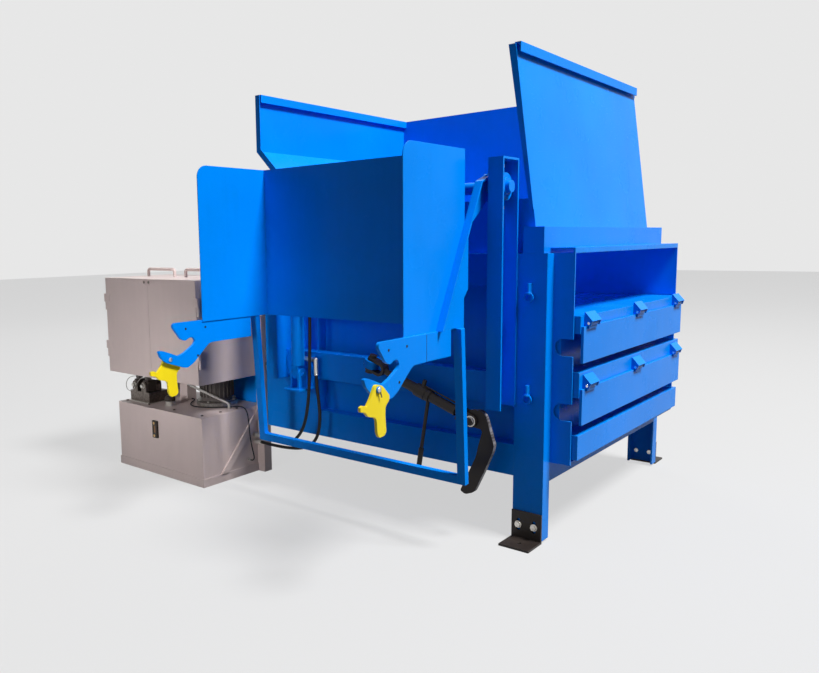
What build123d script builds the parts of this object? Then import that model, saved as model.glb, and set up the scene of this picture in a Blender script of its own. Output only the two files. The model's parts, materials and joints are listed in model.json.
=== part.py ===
from build123d import *
import os
from math import cos, radians, sin, tan

# Stationary waste compactor with a bin lift and a separate power pack. Lengths are millimetres, angles degrees.
# The pieces are made with X from the discharge end, Y from the near faces of the legs and Z from the floor,
# then moved so that the origin is on the floor at the centre of the footprint.

# Shared
overrun = 5             # how far a cut passes the faces it opens
slide_gap = 0.3         # between faces that move past each other
run_gap = 0.05          # radial clearance of a pin in its hole
round_share = 0.32      # how much of a run a rounded corner takes
hose_share = 0.45       # the same for a hose

# Channel section of the legs, rails and posts
channel_width = 150
channel_web = 7
channel_flange = 10

# Body
body_width = 1620
body_length = 1805
housing_length = 2350
step_length = 1875      # where the chamber walls drop to the housing's height
frame_depth = 68        # from the leg faces in to the chamber walls
corner_width = 428      # of the boxed corner posts
plate = 8
spout_length = 98
leg_bottom = 12
rail_bottom = 303
wall_bottom = 379
floor_top = 395
body_top = 1352
housing_top = 1100
roof_top = 1092
roof_lap = 45           # how far the housing's roof reaches over the ram's tail at rest
slot_height = 80
slot_end = 13           # from the discharge end to the round end of a bar slot
slot_heights = (925, 626)
beam_drop = 91          # depth of the beams under the chamber floor
beam_run = 70
hood_height = 25
header_width = 100
header_height = 120
header_set = 18         # from the discharge end back to the header
header_sheet = 6

# Feet
foot_plate = 10
foot_height = 140
toe_length = 138
foot_bolt_rise = 74
foot_bolt_pitch = 79
foot_slot_length = 60
foot_slot_radius = 9
foot_bolt_radius = 8
foot_bolt_hole = 8.5
anchor_radius = 9
anchor_share = 0.55
washer_radius = 17
washer_height = 3
head_radius = 13.5
head_height = 10
rear_leg_inset = 100
rear_leg_top = 1000

# Lock pins on the front legs
lock_pin_radius = 8
lock_pin_heights = (1173, 702)
lock_pin_length = 46
lock_pin_set = 80
lock_pin_out = 18
lock_collar_radius = 14
lock_collar_half = 4
lock_ring_radius = 19
lock_ring_wire = 5

# Hopper
hopper_front = 47
hopper_top = 2292
hopper_left = 1867
hopper_sheet = 6
kink_share = 0.725      # of the way from the roof to the hopper's top
slope_lap = 7           # from the roof's edge back to the foot of the slope
right_base = 82
right_top = 193
lip_out = 28
lip_drop = 45
right_lip_out = 18
right_lip_drop = 38
strip_width = 35
strip_foot = 18
strip_sheet = 5
strip_out = 17
right_strip_start = 1553
sill_top = 1600

# Ram
ram_face = 125
ram_length = 1160
ram_side_gap = 6
ram_bottom = 405
ram_top = 1070
ram_plate = 12
ram_stroke = 1100
groove_depth = 90
groove_bottoms = (813, 520)
groove_height = 177
shelf = 8
anchor_half = 70
anchor_depth = 25
strip_count_shares = (0.12, 0.5, 0.88)
wear_width = 80
ram_rod_radius = 40
ram_bore_radius = 56
ram_barrel_radius = 66
ram_barrel_length = 1240
ram_cylinder_height = 745
gland_length = 40
piston_length = 50
piston_gap = 1

# Flaps
flap_plate = 12
flap_height = 167
flap_tops = (1023, 736)
flap_inset = 8
flap_set = 0.5
hinge_shares = (0.065, 0.5, 0.935)
hinge_out = 20          # from the ram's face to the hinge axis
hinge_rise = 13         # from the flap's top edge up to the hinge axis
pin_radius = 6
knuckle_radius = 10
knuckle_width = 90
cheek = 8
cheek_gap = 2
cheek_drop = 11.5
cheek_out = 10
hood_rise = 48
hood_out = 36
hood_dip = 8
hood_sheet = 4
tab_back = 18

# Lift posts and shaft
post_right = 143        # outer edge of the right post from the discharge end
post_depth = 73
post_gap = 3
post_bottom = 642
post_top = 1778
lift_centre = 887
shaft_radius = 27.5
shaft_height = 1651
shaft_out = 79
shaft_end = 138
web_hole = 34
cross_beam_depth = 75
cross_beam_bottom = 655
bearing_bolt_half = 92
bearing_flange = 18
bearing_lobe = 22
bearing_boss_radius = 62
bearing_boss_height = 42
bearing_ring_radius = 40
bearing_ring_height = 52
bearing_bolt_radius = 8

# Lift arms and carriage
carriage_half = 623     # half the outside width of the carriage
carriage_sheet = 4
carriage_back = 270
carriage_reach = 735
carriage_bottom = 1027
carriage_top = 1809
carriage_corner = 60
arm_plate = 12
arm_boss = 62
arm_bottom = 1036
arm_head = 183
arm_head_top = 1675
arm_front = 500
arm_foot = 320
arm_back = 257
arm_back_top = 1470
arm_back_low = 1200
arm_foot_low = 1130
arm_flange = 36
arm_flange_sheet = 8

# Trunnion hooks and latches
hook_plate = 15
hook_reach = 579
hook_height = 234
hook_back = 433
hook_seam = 592         # where the hook's blade meets its square arm
hook_arm_end = 397
seam_step = 3
hook_bottom = 802
# Shares of the reach (0 at the back) and of the height (0 at the bottom)
hook_shares = ((0, 1), (0.869, 1), (0.762, 0.645), (0.717, 0.594), (0.668, 0.655), (0.63, 0.655),
               (0.606, 0.577), (0.624, 0.496), (0.729, 0.346), (0.796, 0.291), (0.895, 0.393), (0.965, 0.455),
               (1, 0.449), (0.979, 0.312), (0.927, 0.192), (0.706, 0), (0.625, 0.103), (0.518, 0.338),
               (0.444, 0.487), (0.306, 0.496), (0, 0.496))
latch_plate = 12
latch_pin_radius = 8
latch_pin_out = 942
latch_pin_height = 859
latch_head_radius = 13
latch_head_height = 5
latch_height = 213
latch_reach = 182
latch_front = 1051
latch_bottom = 669
# Shares of the latch's reach (0 at the back) and of its height
latch_shares = ((0.478, 1), (0.247, 0.944), (0, 0.742), (0, 0.653), (0.143, 0.545), (0.148, 0.357),
                (0.115, 0.075), (0.187, 0.014), (0.363, 0), (0.434, 0.094), (0.462, 0.39), (0.736, 0.446),
                (0.846, 0.545), (1, 0.568), (0.995, 0.657), (0.896, 0.676), (0.797, 0.624), (0.665, 0.746))

# Guard frame below the hooks
guard_width = 40
guard_depth = 30
guard_front = 360
guard_bottom = 318
guard_lean = 3.5
guard_wall = 4
guard_drop = 1.9

# Lift cylinder and crank
crank_radius = 160
crank_swing = 65        # the crank's angle below level at rest, and above level at the end
lift_turn = 130
cylinder_set = 513      # from the lift's centre to the cylinder, toward the power pack
barrel_radius = 37
barrel_bottom = 735
barrel_length = 440
bore_radius = 30
rod_radius = 20
eye_radius = 30
eye_width = 44
eye_hole = 15
crank_plate = 20
crank_gap = 3
crank_boss = 46
crank_tip = 30
bracket_half = 60
bracket_plate = 10
bracket_bottom = 597
bracket_top = 720
ear = 12
ear_half = 34
foot_pin_radius = 14
foot_pin_height = 684
port_radius = 13
port_low = 771
port_high = 1130
hose_one_out = 94
hose_two_out = 109
port_leg = 50
port_back = 27          # how far the low port is set toward the body

# Turnbuckle, made along X with its hinge pin along Z, then tilted
buckle_x = 888
buckle_out = 140
buckle_height = 791
buckle_tilt = 19.5
lug_half = 20
lug_radius = 38
buckle_pin_radius = 12
fork_plate = 14
fork_gap = 1
fork_half = 24
fork_reach = 100
neck_radius = 15
neck_end = 285
buckle_head = 21
buckle_head_height = 15
sleeve_start = 158
sleeve_end = 540
sleeve_radius = 25
sleeve_bore = 16
ratchet_start = 300
ratchet_length = 62
ratchet_radius = 33
knob_radius = 11
knob_height = 30
tie_radius = 4
tie_out = 36
tie_post = 8
ring_radius = 31
ring_length = 26
handle_radius = 9
handle_length = 385
handle_grip = 13
handle_grip_length = 110
handle_lean = 9
screw_start = 400
screw_radius = 15
eye_at = 636
link_plate = 12
link_half = 30
link_length = 64
link_yoke = 16
claw_plate = 24
claw_gap = 1
claw_width = 177
claw_drop = 419
claw_left = 60
claw_top = 56
# Shares of the claw's width (0 at its left) and of its drop (0 at its top)
claw_shares = ((0.147, 0.067), (0.294, 0.01), (0.61, 0.002), (0.757, 0.062), (1, 0.375), (0.96, 0.456),
               (0.729, 0.685), (0.424, 0.957), (0.164, 1), (0, 0.969), (0.237, 0.749), (0.475, 0.535),
               (0.537, 0.408), (0.667, 0.22), (0.395, 0.205), (0.136, 0.177))
buckle_travel = 60

# Power pack
pack_left = 2722
pack_right = 1888
pack_front = 455
pack_back = 45
plinth_height = 50
plinth_out = 5
plinth_wall = 10
tank_top = 414
tank_sheet = 4
filler_hole = 22
filler_x = 2345
filler_y = 330
filler_radius = 34
filler_height = 62
filler_neck_radius = 26
filler_neck = 22
gauge_x = 2330
gauge_half = 24
gauge_bottom = 232
gauge_height = 109
gauge_depth = 16
post_size = 60
stand_top = 1190
brace_width = 42
brace_plate = 12
brace_start_out = 326
brace_start_rise = 24
cabinet_left = 2787
cabinet_front = 447
cabinet_bottom = 607
cabinet_top = 1215
cabinet_sheet = 3
roof_out = 22           # how far the cabinet's roof reaches forward over its doors
door_depth = 18
door_gap = 1.5
door_edge = 2
door_top_gap = 4
hinge_radius = 9
hinge_pin = 4
hinge_height = 104
hinge_leaf = 40
hinge_leaf_sheet = 3
hinge_bottoms = (706, 1009)
hinge_set = 10          # from the cabinet's side out to the hinge axis
lock_radius = 9
lock_height = 7
lock_heights = (1190, 640)
lock_side = 24
grip_half = 138
grip_height = 48
grip_radius = 10
grip_out = 200
grip_xs = (2550, 2163)
grip_bend_share = 0.4
motor_x = 2150
motor_y = 110
motor_flange_radius = 125
motor_flange = 26
motor_radius = 96
motor_fin_radius = 108
motor_fin = 5
motor_fin_count = 24
motor_top = 600
valve_left = 2680
valve_right = 2480
valve_near = 390
valve_far = 240
valve_height = 70
coil_radius = 26
coil_length = 120
coil_shares = (0.25, 0.72)
coil_rise = 40
box_left = 2438
box_right = 2363
box_near = 178
box_far = 105
box_height = 130

# Hoses and the cable
hose_radius = 9
cable_radius = 4
bulkhead_radius = 16
bulkhead_length = 22
bulkhead_y = 40
bulkhead_heights = (238, 196)
cable_gland_y = 100
cable_gland_height = 90


def block(x0, x1, y0, y1, z0, z1):
    corner = (Align.MIN, Align.MIN, Align.MIN)
    return Pos(x0, y0, z0) * Box(x1 - x0, y1 - y0, z1 - z0, align=corner)


def slab(points, direction, depth):
    return extrude(make_face(Polyline(*points, close=True)), amount=depth, dir=direction)


def slab_x(outline, x0, x1):
    return slab([(x0, y, z) for y, z in outline], (1, 0, 0), x1 - x0)


def slab_y(outline, y0, y1):
    return slab([(x, y0, z) for x, z in outline], (0, 1, 0), y1 - y0)


def rod_x(radius, x0, x1, y, z):
    base = (Align.CENTER, Align.CENTER, Align.MIN)
    return Pos(x0, y, z) * Rot(0, 90, 0) * Cylinder(radius, x1 - x0, align=base)


def rod_y(radius, y0, y1, x, z):
    base = (Align.CENTER, Align.CENTER, Align.MIN)
    return Pos(x, y0, z) * Rot(-90, 0, 0) * Cylinder(radius, y1 - y0, align=base)


def rod_z(radius, z0, z1, x, y):
    base = (Align.CENTER, Align.CENTER, Align.MIN)
    return Pos(x, y, z0) * Cylinder(radius, z1 - z0, align=base)


# The outline of a bent sheet: a line of points and the same line moved to its left by the thickness
def ribbon(points, thickness):
    line = [Vector(a, b) for a, b in points]
    runs = [(b - a).normalized() for a, b in zip(line, line[1:])]
    sides = [Vector(-run.Y, run.X) for run in runs]
    moved = []
    for i, point in enumerate(line):
        before = sides[max(i - 1, 0)]
        after = sides[min(i, len(sides) - 1)]
        moved.append(point + (before + after) * (thickness / (1 + before.dot(after))))
    return [(p.X, p.Y) for p in line] + [(p.X, p.Y) for p in reversed(moved)]


# Straight runs joined by tangent arcs through a line of points; each arc takes a share of its shorter run
def bent(points, share, closed):
    corners = [Vector(*p) for p in points]
    joins = []
    edges = []
    for i, corner in enumerate(corners):
        if not closed and i in (0, len(corners) - 1):
            joins.append((corner, corner))
            continue
        back = corners[i - 1] - corner
        ahead = corners[(i + 1) % len(corners)] - corner
        reach = share * min(back.length, ahead.length)
        half = radians(back.get_angle(ahead)) / 2
        middle = (back.normalized() + ahead.normalized()).normalized()
        first = corner + back.normalized() * reach
        last = corner + ahead.normalized() * reach
        crown = corner + middle * (reach / cos(half) - reach * tan(half))
        joins.append((first, last))
        edges.append(ThreePointArc(first, crown, last))
    for i in range(len(joins) if closed else len(joins) - 1):
        edges.append(Line(joins[i][1], joins[(i + 1) % len(joins)][0]))
    return edges


def soft_slab_x(outline, x0, x1):
    face = make_face(bent([(x0, y, z) for y, z in outline], round_share, True))
    return extrude(face, amount=x1 - x0, dir=(1, 0, 0))


def soft_slab_y(outline, y0, y1):
    face = make_face(bent([(x, y0, z) for x, z in outline], round_share, True))
    return extrude(face, amount=y1 - y0, dir=(0, 1, 0))


def tube(points, radius, share):
    path = Wire(bent(points, share, False))
    return sweep(Plane(path @ 0, z_dir=path % 0) * Circle(radius), path=path)


def hexagon(radius, height):
    return extrude(RegularPolygon(radius, 6), amount=height)


# A channel standing along Z, its width along X from 0 and its web at Y 0
def channel(depth, length):
    hollow = block(channel_flange, channel_width - channel_flange, channel_web, depth + overrun,
                   -overrun, length + overrun)
    return block(0, channel_width, 0, depth, 0, length) - hollow


mid_plane = Plane(origin=(0, body_width / 2, 0), x_dir=(1, 0, 0), z_dir=(0, 1, 0))
lift_plane = Plane(origin=(-lift_centre, 0, 0), x_dir=(0, 1, 0), z_dir=(1, 0, 0))


def far(shape):
    return mirror(shape, about=mid_plane)


def other_end(shape):
    return mirror(shape, about=lift_plane)


def group(shapes):
    return Compound([solid for shape in shapes for solid in shape.solids()])


nodes = {}
wall_in = frame_depth + plate
far_in = body_width - wall_in
far_out = body_width - frame_depth
rail_top = rail_bottom + channel_width
header_top = body_top + header_height
roof_front = ram_length - ram_face - roof_lap
kink_height = roof_top + kink_share * (hopper_top - roof_top)
slope_foot = roof_front + slope_lap


# Chamber, legs and rails
def make_body():
    outline = [(spout_length, wall_bottom), (spout_length, body_top), (-step_length, body_top),
               (-step_length, housing_top), (-housing_length, housing_top), (-housing_length, wall_bottom)]
    wall = slab_y(outline, frame_depth, wall_in)
    slot_radius = slot_height / 2
    slot_x = slot_end + slot_radius
    for height in slot_heights:
        wall -= block(slot_x, spout_length + overrun, frame_depth - overrun, wall_in + overrun,
                      height - slot_radius, height + slot_radius)
        wall -= rod_y(slot_radius, frame_depth - overrun, wall_in + overrun, slot_x, height)
    nodes["near_side_wall"] = wall
    nodes["far_side_wall"] = far(wall)
    nodes["chamber_floor"] = block(-housing_length, spout_length, wall_in, far_in, wall_bottom, floor_top)
    roof_low = roof_top - plate
    nodes["rear_wall"] = block(-housing_length, plate - housing_length, wall_in, far_in, floor_top, roof_low)
    nodes["housing_roof"] = block(-housing_length, -roof_front, wall_in, far_in, roof_low, roof_top)

    hood_top = body_top + hood_height
    hood = [(spout_length, body_top), (spout_length, hood_top), (-header_set, hood_top)]
    nodes["spout_hood"] = slab_y(ribbon(hood, plate), frame_depth, far_out)
    header_back = -header_set - header_width
    beam = block(header_back, -header_set, 0, body_width, body_top, header_top)
    beam -= block(header_back + header_sheet, -header_set - header_sheet, header_sheet,
                  body_width - header_sheet, body_top - overrun, header_top - header_sheet)
    nodes["header_beam"] = beam

    along = {"x_dir": (0, 0, -1), "z_dir": (1, 0, 0)}
    run = body_length - channel_width
    base = Plane(origin=(-body_length, 0, rail_top), **along).location * channel(frame_depth, run)
    top = Plane(origin=(-body_length, 0, body_top), **along).location * channel(frame_depth, run)
    corner = corner_width - body_length
    post_end = body_top - channel_width
    post = block(-body_length, corner, 0, frame_depth, rail_top, post_end)
    post -= block(channel_flange - body_length, corner - channel_flange, channel_web, frame_depth + overrun,
                  rail_top - overrun, post_end + overrun)
    beams = []
    for x in (-beam_run, -housing_length):
        whole = block(x, x + beam_run, frame_depth, far_out, wall_bottom - beam_drop, wall_bottom)
        beams.append(whole - block(x - overrun, x + beam_run - plate, frame_depth - overrun, far_out + overrun,
                                   wall_bottom - beam_drop + plate, wall_bottom - plate))
    nodes["base_rails"] = group([base, far(base)] + beams)
    nodes["side_rails"] = group([top, far(top), post, far(post)])


def foot_xs():
    return [channel_width / 2 - foot_bolt_pitch / 2, channel_width / 2 + foot_bolt_pitch / 2]


def make_leg(depth, top):
    leg = Pos(0, 0, leg_bottom) * channel(depth, top - leg_bottom)
    for x in foot_xs():
        leg -= rod_y(foot_bolt_hole, -overrun, channel_web + overrun, x, foot_bolt_rise)
    return leg


def make_bracket():
    bracket = block(0, channel_width, -foot_plate, 0, 0, foot_height)
    bracket += block(0, channel_width, -toe_length, 0, 0, foot_plate)
    half = foot_slot_length / 2 - foot_slot_radius
    for x in foot_xs():
        low = foot_bolt_rise - half
        high = foot_bolt_rise + half
        bracket -= block(x - foot_slot_radius, x + foot_slot_radius, -foot_plate - overrun, overrun, low, high)
        bracket -= rod_y(foot_slot_radius, -foot_plate - overrun, overrun, x, low)
        bracket -= rod_y(foot_slot_radius, -foot_plate - overrun, overrun, x, high)
    anchor_y = -toe_length * anchor_share
    bracket -= rod_z(anchor_radius, -overrun, foot_plate + overrun, channel_width / 2, anchor_y)
    return bracket


def make_foot_bolt(x):
    front = -foot_plate
    bolt = rod_y(foot_bolt_radius, front, channel_web + head_height, x, foot_bolt_rise)
    bolt += rod_y(washer_radius, front - washer_height, front, x, foot_bolt_rise)
    head = Rot(90, 0, 0) * hexagon(head_radius, head_height)
    bolt += Pos(x, front - washer_height, foot_bolt_rise) * head
    bolt += Pos(x, channel_web + head_height, foot_bolt_rise) * head
    return bolt


def make_lock_pin(height):
    x = -lock_pin_set
    pin = rod_z(lock_pin_radius, height, height + lock_pin_length, x, -lock_pin_out)
    pin += rod_z(lock_collar_radius, height - lock_collar_half, height + lock_collar_half, x, -lock_pin_out)
    pin += block(x - lock_pin_radius, x + lock_pin_radius, -lock_pin_out, 0, height - lock_collar_half,
                 height + lock_pin_length)
    near = -lock_pin_out - lock_ring_wire
    end = lock_ring_wire - lock_pin_out
    middle = height - lock_ring_radius
    ring = rod_y(lock_ring_radius + lock_ring_wire, near, end, x, middle)
    ring -= rod_y(lock_ring_radius - lock_ring_wire, near - overrun, end + overrun, x, middle)
    return pin + ring


def make_feet():
    front = Pos(-channel_width, 0, 0)
    turned = Plane(origin=(-housing_length - frame_depth, rear_leg_inset + channel_width, 0),
                   x_dir=(0, -1, 0), z_dir=(0, 0, 1)).location
    front_leg = front * make_leg(frame_depth, body_top)
    rear_leg = turned * make_leg(frame_depth, rear_leg_top)
    for height in lock_pin_heights:
        front_leg += make_lock_pin(height)
    nodes["legs"] = group([front_leg, far(front_leg), rear_leg, far(rear_leg)])
    brackets = []
    bolts = []
    for place in (front, turned):
        bracket = place * make_bracket()
        brackets += [bracket, far(bracket)]
        for x in foot_xs():
            bolt = place * make_foot_bolt(x)
            bolts += [bolt, far(bolt)]
    nodes["foot_brackets"] = group(brackets)
    return bolts


# Hopper: four walls of folded sheet
def slope_x(height):
    return -slope_foot - (hopper_left - slope_foot) * (height - roof_top) / (kink_height - roof_top)


def right_x(height):
    return -right_base - (right_top - right_base) * (height - header_top) / (hopper_top - header_top)


def make_hopper():
    back_in = far_out - hopper_sheet
    left = [(-hopper_left + lip_out, hopper_top - lip_drop), (-hopper_left + lip_out, hopper_top),
            (-hopper_left, hopper_top), (-hopper_left, kink_height), (slope_x(roof_top), roof_top)]
    wall = slab_y(ribbon(left, hopper_sheet), hopper_front, back_in)
    side = wall_in + slide_gap
    notch = block(-hopper_left - overrun, 0, 0, side, 0, body_top)
    wall = wall - notch - far(notch)
    edge = [(-hopper_left - strip_out, hopper_top), (-hopper_left - strip_out, kink_height),
            (slope_x(body_top) - strip_out, body_top)]
    wall += slab_y(ribbon(edge, strip_width), hopper_front - strip_sheet, hopper_front)
    nodes["hopper_left_wall"] = wall

    lip_x = right_x(hopper_top) + right_lip_out
    line = [(right_x(header_top), header_top), (right_x(hopper_top), hopper_top), (lip_x, hopper_top),
            (lip_x, hopper_top - right_lip_drop)]
    wall = slab_y(ribbon(line, hopper_sheet), hopper_front, back_in)
    edge = [(right_x(right_strip_start), right_strip_start), (right_x(hopper_top), hopper_top),
            (right_x(hopper_top) - strip_width, hopper_top),
            (right_x(right_strip_start) - strip_foot, right_strip_start)]
    wall += slab_y(edge, hopper_front - strip_sheet, hopper_front)
    wall = wall - block(-housing_length, 0, 0, body_width, 0, header_top)
    nodes["hopper_right_wall"] = wall

    header_back = -header_set - header_width
    outline = [(-hopper_left, hopper_top), (-hopper_left, kink_height), (slope_x(body_top), body_top),
               (header_back, body_top), (header_back, header_top), (right_x(header_top), header_top),
               (right_x(hopper_top), hopper_top)]
    wall = slab_y(outline, back_in, far_out)
    wall += slab_x(ribbon([(far_out, hopper_top), (far_out + lip_out, hopper_top),
                           (far_out + lip_out, hopper_top - lip_drop)][::-1], hopper_sheet),
                   -hopper_left, right_x(hopper_top))
    nodes["hopper_back_wall"] = wall

    slope = (hopper_left - slope_foot) / (kink_height - roof_top)
    lean = (right_top - right_base) / (hopper_top - header_top)
    inside = hopper_sheet * (1 + slope ** 2) ** 0.5 + slide_gap
    clear = hopper_sheet * (1 + lean ** 2) ** 0.5 + slide_gap
    outline = [(slope_x(sill_top) + inside, sill_top), (slope_x(body_top) + inside, body_top),
               (header_back - slide_gap, body_top), (header_back - slide_gap, header_top + slide_gap),
               (right_x(header_top) - clear, header_top + slide_gap), (right_x(sill_top) - clear, sill_top)]
    nodes["hopper_front_sill"] = slab_y(outline, hopper_front, hopper_front + hopper_sheet)


# Ram, its flaps and its cylinder
ram_near = wall_in + ram_side_gap
ram_far = body_width - ram_near
ram_tail = ram_face - ram_length
groove_back = ram_face - groove_depth


def flap_ys():
    length = ram_far - ram_near
    return [ram_near + share * length for share in hinge_shares]


def make_ram():
    inside_near = ram_near + ram_plate
    inside_far = ram_far - ram_plate
    low = ram_bottom + ram_plate
    high = ram_top - ram_plate
    body = block(ram_tail, ram_face, ram_near, ram_far, ram_bottom, ram_top)
    for bottom in groove_bottoms:
        body -= block(groove_back, ram_face + overrun, ram_near - overrun, ram_far + overrun,
                      bottom, bottom + groove_height)
    levels = [low]
    for bottom in reversed(groove_bottoms):
        levels += [bottom - shelf, bottom + groove_height + shelf]
    levels.append(high)
    body -= block(ram_tail - overrun, groove_back - shelf, inside_near, inside_far, low, high)
    for bottom, top in zip(levels[::2], levels[1::2]):
        body -= block(groove_back - shelf - overrun, ram_face - ram_plate, inside_near, inside_far, bottom, top)
    middle = body_width / 2
    body += block(groove_back - shelf - anchor_depth, groove_back - shelf, middle - anchor_half,
                  middle + anchor_half, ram_cylinder_height - anchor_half, ram_cylinder_height + anchor_half)
    nodes["ram_body"] = body

    strips = []
    for share in strip_count_shares:
        y = ram_near + share * (ram_far - ram_near)
        strips.append(block(ram_tail, ram_face - ram_plate, y - wear_width / 2, y + wear_width / 2,
                            floor_top + slide_gap, ram_bottom))
    nodes["ram_wear_strips"] = group(strips)

    rear = plate - housing_length
    front = rear + ram_barrel_length
    barrel = rod_x(ram_barrel_radius, rear, front, middle, ram_cylinder_height)
    barrel -= rod_x(ram_bore_radius, rear + gland_length, front - gland_length, middle, ram_cylinder_height)
    barrel -= rod_x(ram_rod_radius + run_gap, front - gland_length - overrun, front + overrun, middle,
                    ram_cylinder_height)
    nodes["ram_cylinder_barrel"] = barrel
    piston_front = front - gland_length - piston_gap
    rod = rod_x(ram_rod_radius, piston_front - piston_length, groove_back - shelf - anchor_depth, middle,
                ram_cylinder_height)
    rod += rod_x(ram_bore_radius - run_gap, piston_front - piston_length, piston_front, middle,
                 ram_cylinder_height)
    nodes["ram_cylinder_rod"] = rod

    hoods = []
    pins = []
    axis_x = ram_face + hinge_out
    for name, flap_top in zip(("upper_flap", "lower_flap"), flap_tops):
        axis_z = flap_top + hinge_rise
        front = ram_face + flap_set + flap_plate
        flap = block(ram_face + flap_set, front, ram_near + flap_inset, ram_far - flap_inset,
                     flap_top - flap_height, flap_top)
        for y in flap_ys():
            near = y - knuckle_width / 2
            end = y + knuckle_width / 2
            flap += block(axis_x - tab_back, axis_x, near, end, flap_top - flap_plate, axis_z)
            flap += rod_y(knuckle_radius, near, end, axis_x, axis_z)
        for y in flap_ys():
            near = y - knuckle_width / 2
            end = y + knuckle_width / 2
            flap -= rod_y(pin_radius + run_gap, near - overrun, end + overrun, axis_x, axis_z)
            side = [(ram_face, axis_z - cheek_drop), (ram_face, axis_z + hood_rise),
                    (ram_face + hood_out, axis_z + hood_dip), (axis_x + cheek_out, axis_z - cheek_drop)]
            near_cheek = near - cheek_gap - cheek
            far_cheek = end + cheek_gap + cheek
            hood = slab_y(side, near_cheek, near - cheek_gap) + slab_y(side, end + cheek_gap, far_cheek)
            cover = [(ram_face, axis_z + hood_rise), (ram_face + hood_out, axis_z + hood_dip)]
            hood += slab_y(ribbon(cover, hood_sheet), near_cheek, far_cheek)
            hood -= block(ram_tail, ram_face, 0, body_width, 0, body_top)
            hood -= rod_y(pin_radius + run_gap, near_cheek - overrun, far_cheek + overrun, axis_x, axis_z)
            hoods.append(hood)
            pins.append(rod_y(pin_radius, near_cheek, far_cheek, axis_x, axis_z))
        nodes[name] = flap
    nodes["flap_hinge_hoods"] = group(hoods)
    nodes["flap_hinge_pins"] = group(pins)


# Lift posts, shaft, arms, carriage, hooks and guard frame
post_web = -post_right - post_depth
shaft_y = -shaft_out
carriage_right = carriage_half - lift_centre


def make_posts():
    near = -post_gap - channel_width
    post = block(post_web, -post_right, near, -post_gap, post_bottom, post_top)
    post -= block(post_web + channel_web, overrun - post_right, near + channel_flange,
                  -post_gap - channel_flange, post_bottom - overrun, post_top - channel_flange)
    post += block(post_web, -post_right, -post_gap, 0, body_top - channel_width, body_top)
    post -= rod_x(web_hole, post_web - overrun, post_web + channel_web + overrun, shaft_y, shaft_height)
    for side in (-1, 1):
        post -= rod_x(bearing_bolt_radius + run_gap, post_web - overrun, post_web + channel_web + overrun,
                      shaft_y, shaft_height + side * bearing_bolt_half)
    nodes["lift_posts"] = group([post, other_end(post)])

    along = Plane(origin=(-2 * lift_centre - post_web, -cross_beam_depth, cross_beam_bottom + channel_width),
                  x_dir=(0, 0, -1), z_dir=(1, 0, 0)).location
    beam = along * channel(cross_beam_depth, 2 * (lift_centre + post_web))
    nodes["lift_cross_beam"] = beam

    face = post_web + channel_web
    low = shaft_height - bearing_bolt_half
    high = shaft_height + bearing_bolt_half
    lobes = [rod_x(bearing_lobe, face, face + bearing_flange, shaft_y, z) for z in (low, high)]
    ends = [(shaft_y - bearing_lobe, high), (shaft_y + bearing_lobe, high),
            (shaft_y + bearing_boss_radius, shaft_height), (shaft_y + bearing_lobe, low),
            (shaft_y - bearing_lobe, low), (shaft_y - bearing_boss_radius, shaft_height)]
    bearing = slab_x(ends, face, face + bearing_flange) + lobes
    bearing += rod_x(bearing_boss_radius, face, face + bearing_boss_height, shaft_y, shaft_height)
    bearing += rod_x(bearing_ring_radius, face, face + bearing_ring_height, shaft_y, shaft_height)
    bearing -= rod_x(shaft_radius + run_gap, face - overrun, face + bearing_ring_height + overrun, shaft_y,
                     shaft_height)
    bolts = []
    for z in (low, high):
        bearing -= rod_x(bearing_bolt_radius + run_gap, face - overrun, face + bearing_flange + overrun,
                         shaft_y, z)
        head = Rot(0, 90, 0) * hexagon(head_radius, head_height)
        bolt = rod_x(bearing_bolt_radius, post_web, face + bearing_flange, shaft_y, z)
        bolt += Pos(face + bearing_flange, shaft_y, z) * head + Pos(post_web - head_height, shaft_y, z) * head
        bolts += [bolt, other_end(bolt)]
    nodes["shaft_bearings"] = group([bearing, other_end(bearing)])
    return bolts


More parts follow.
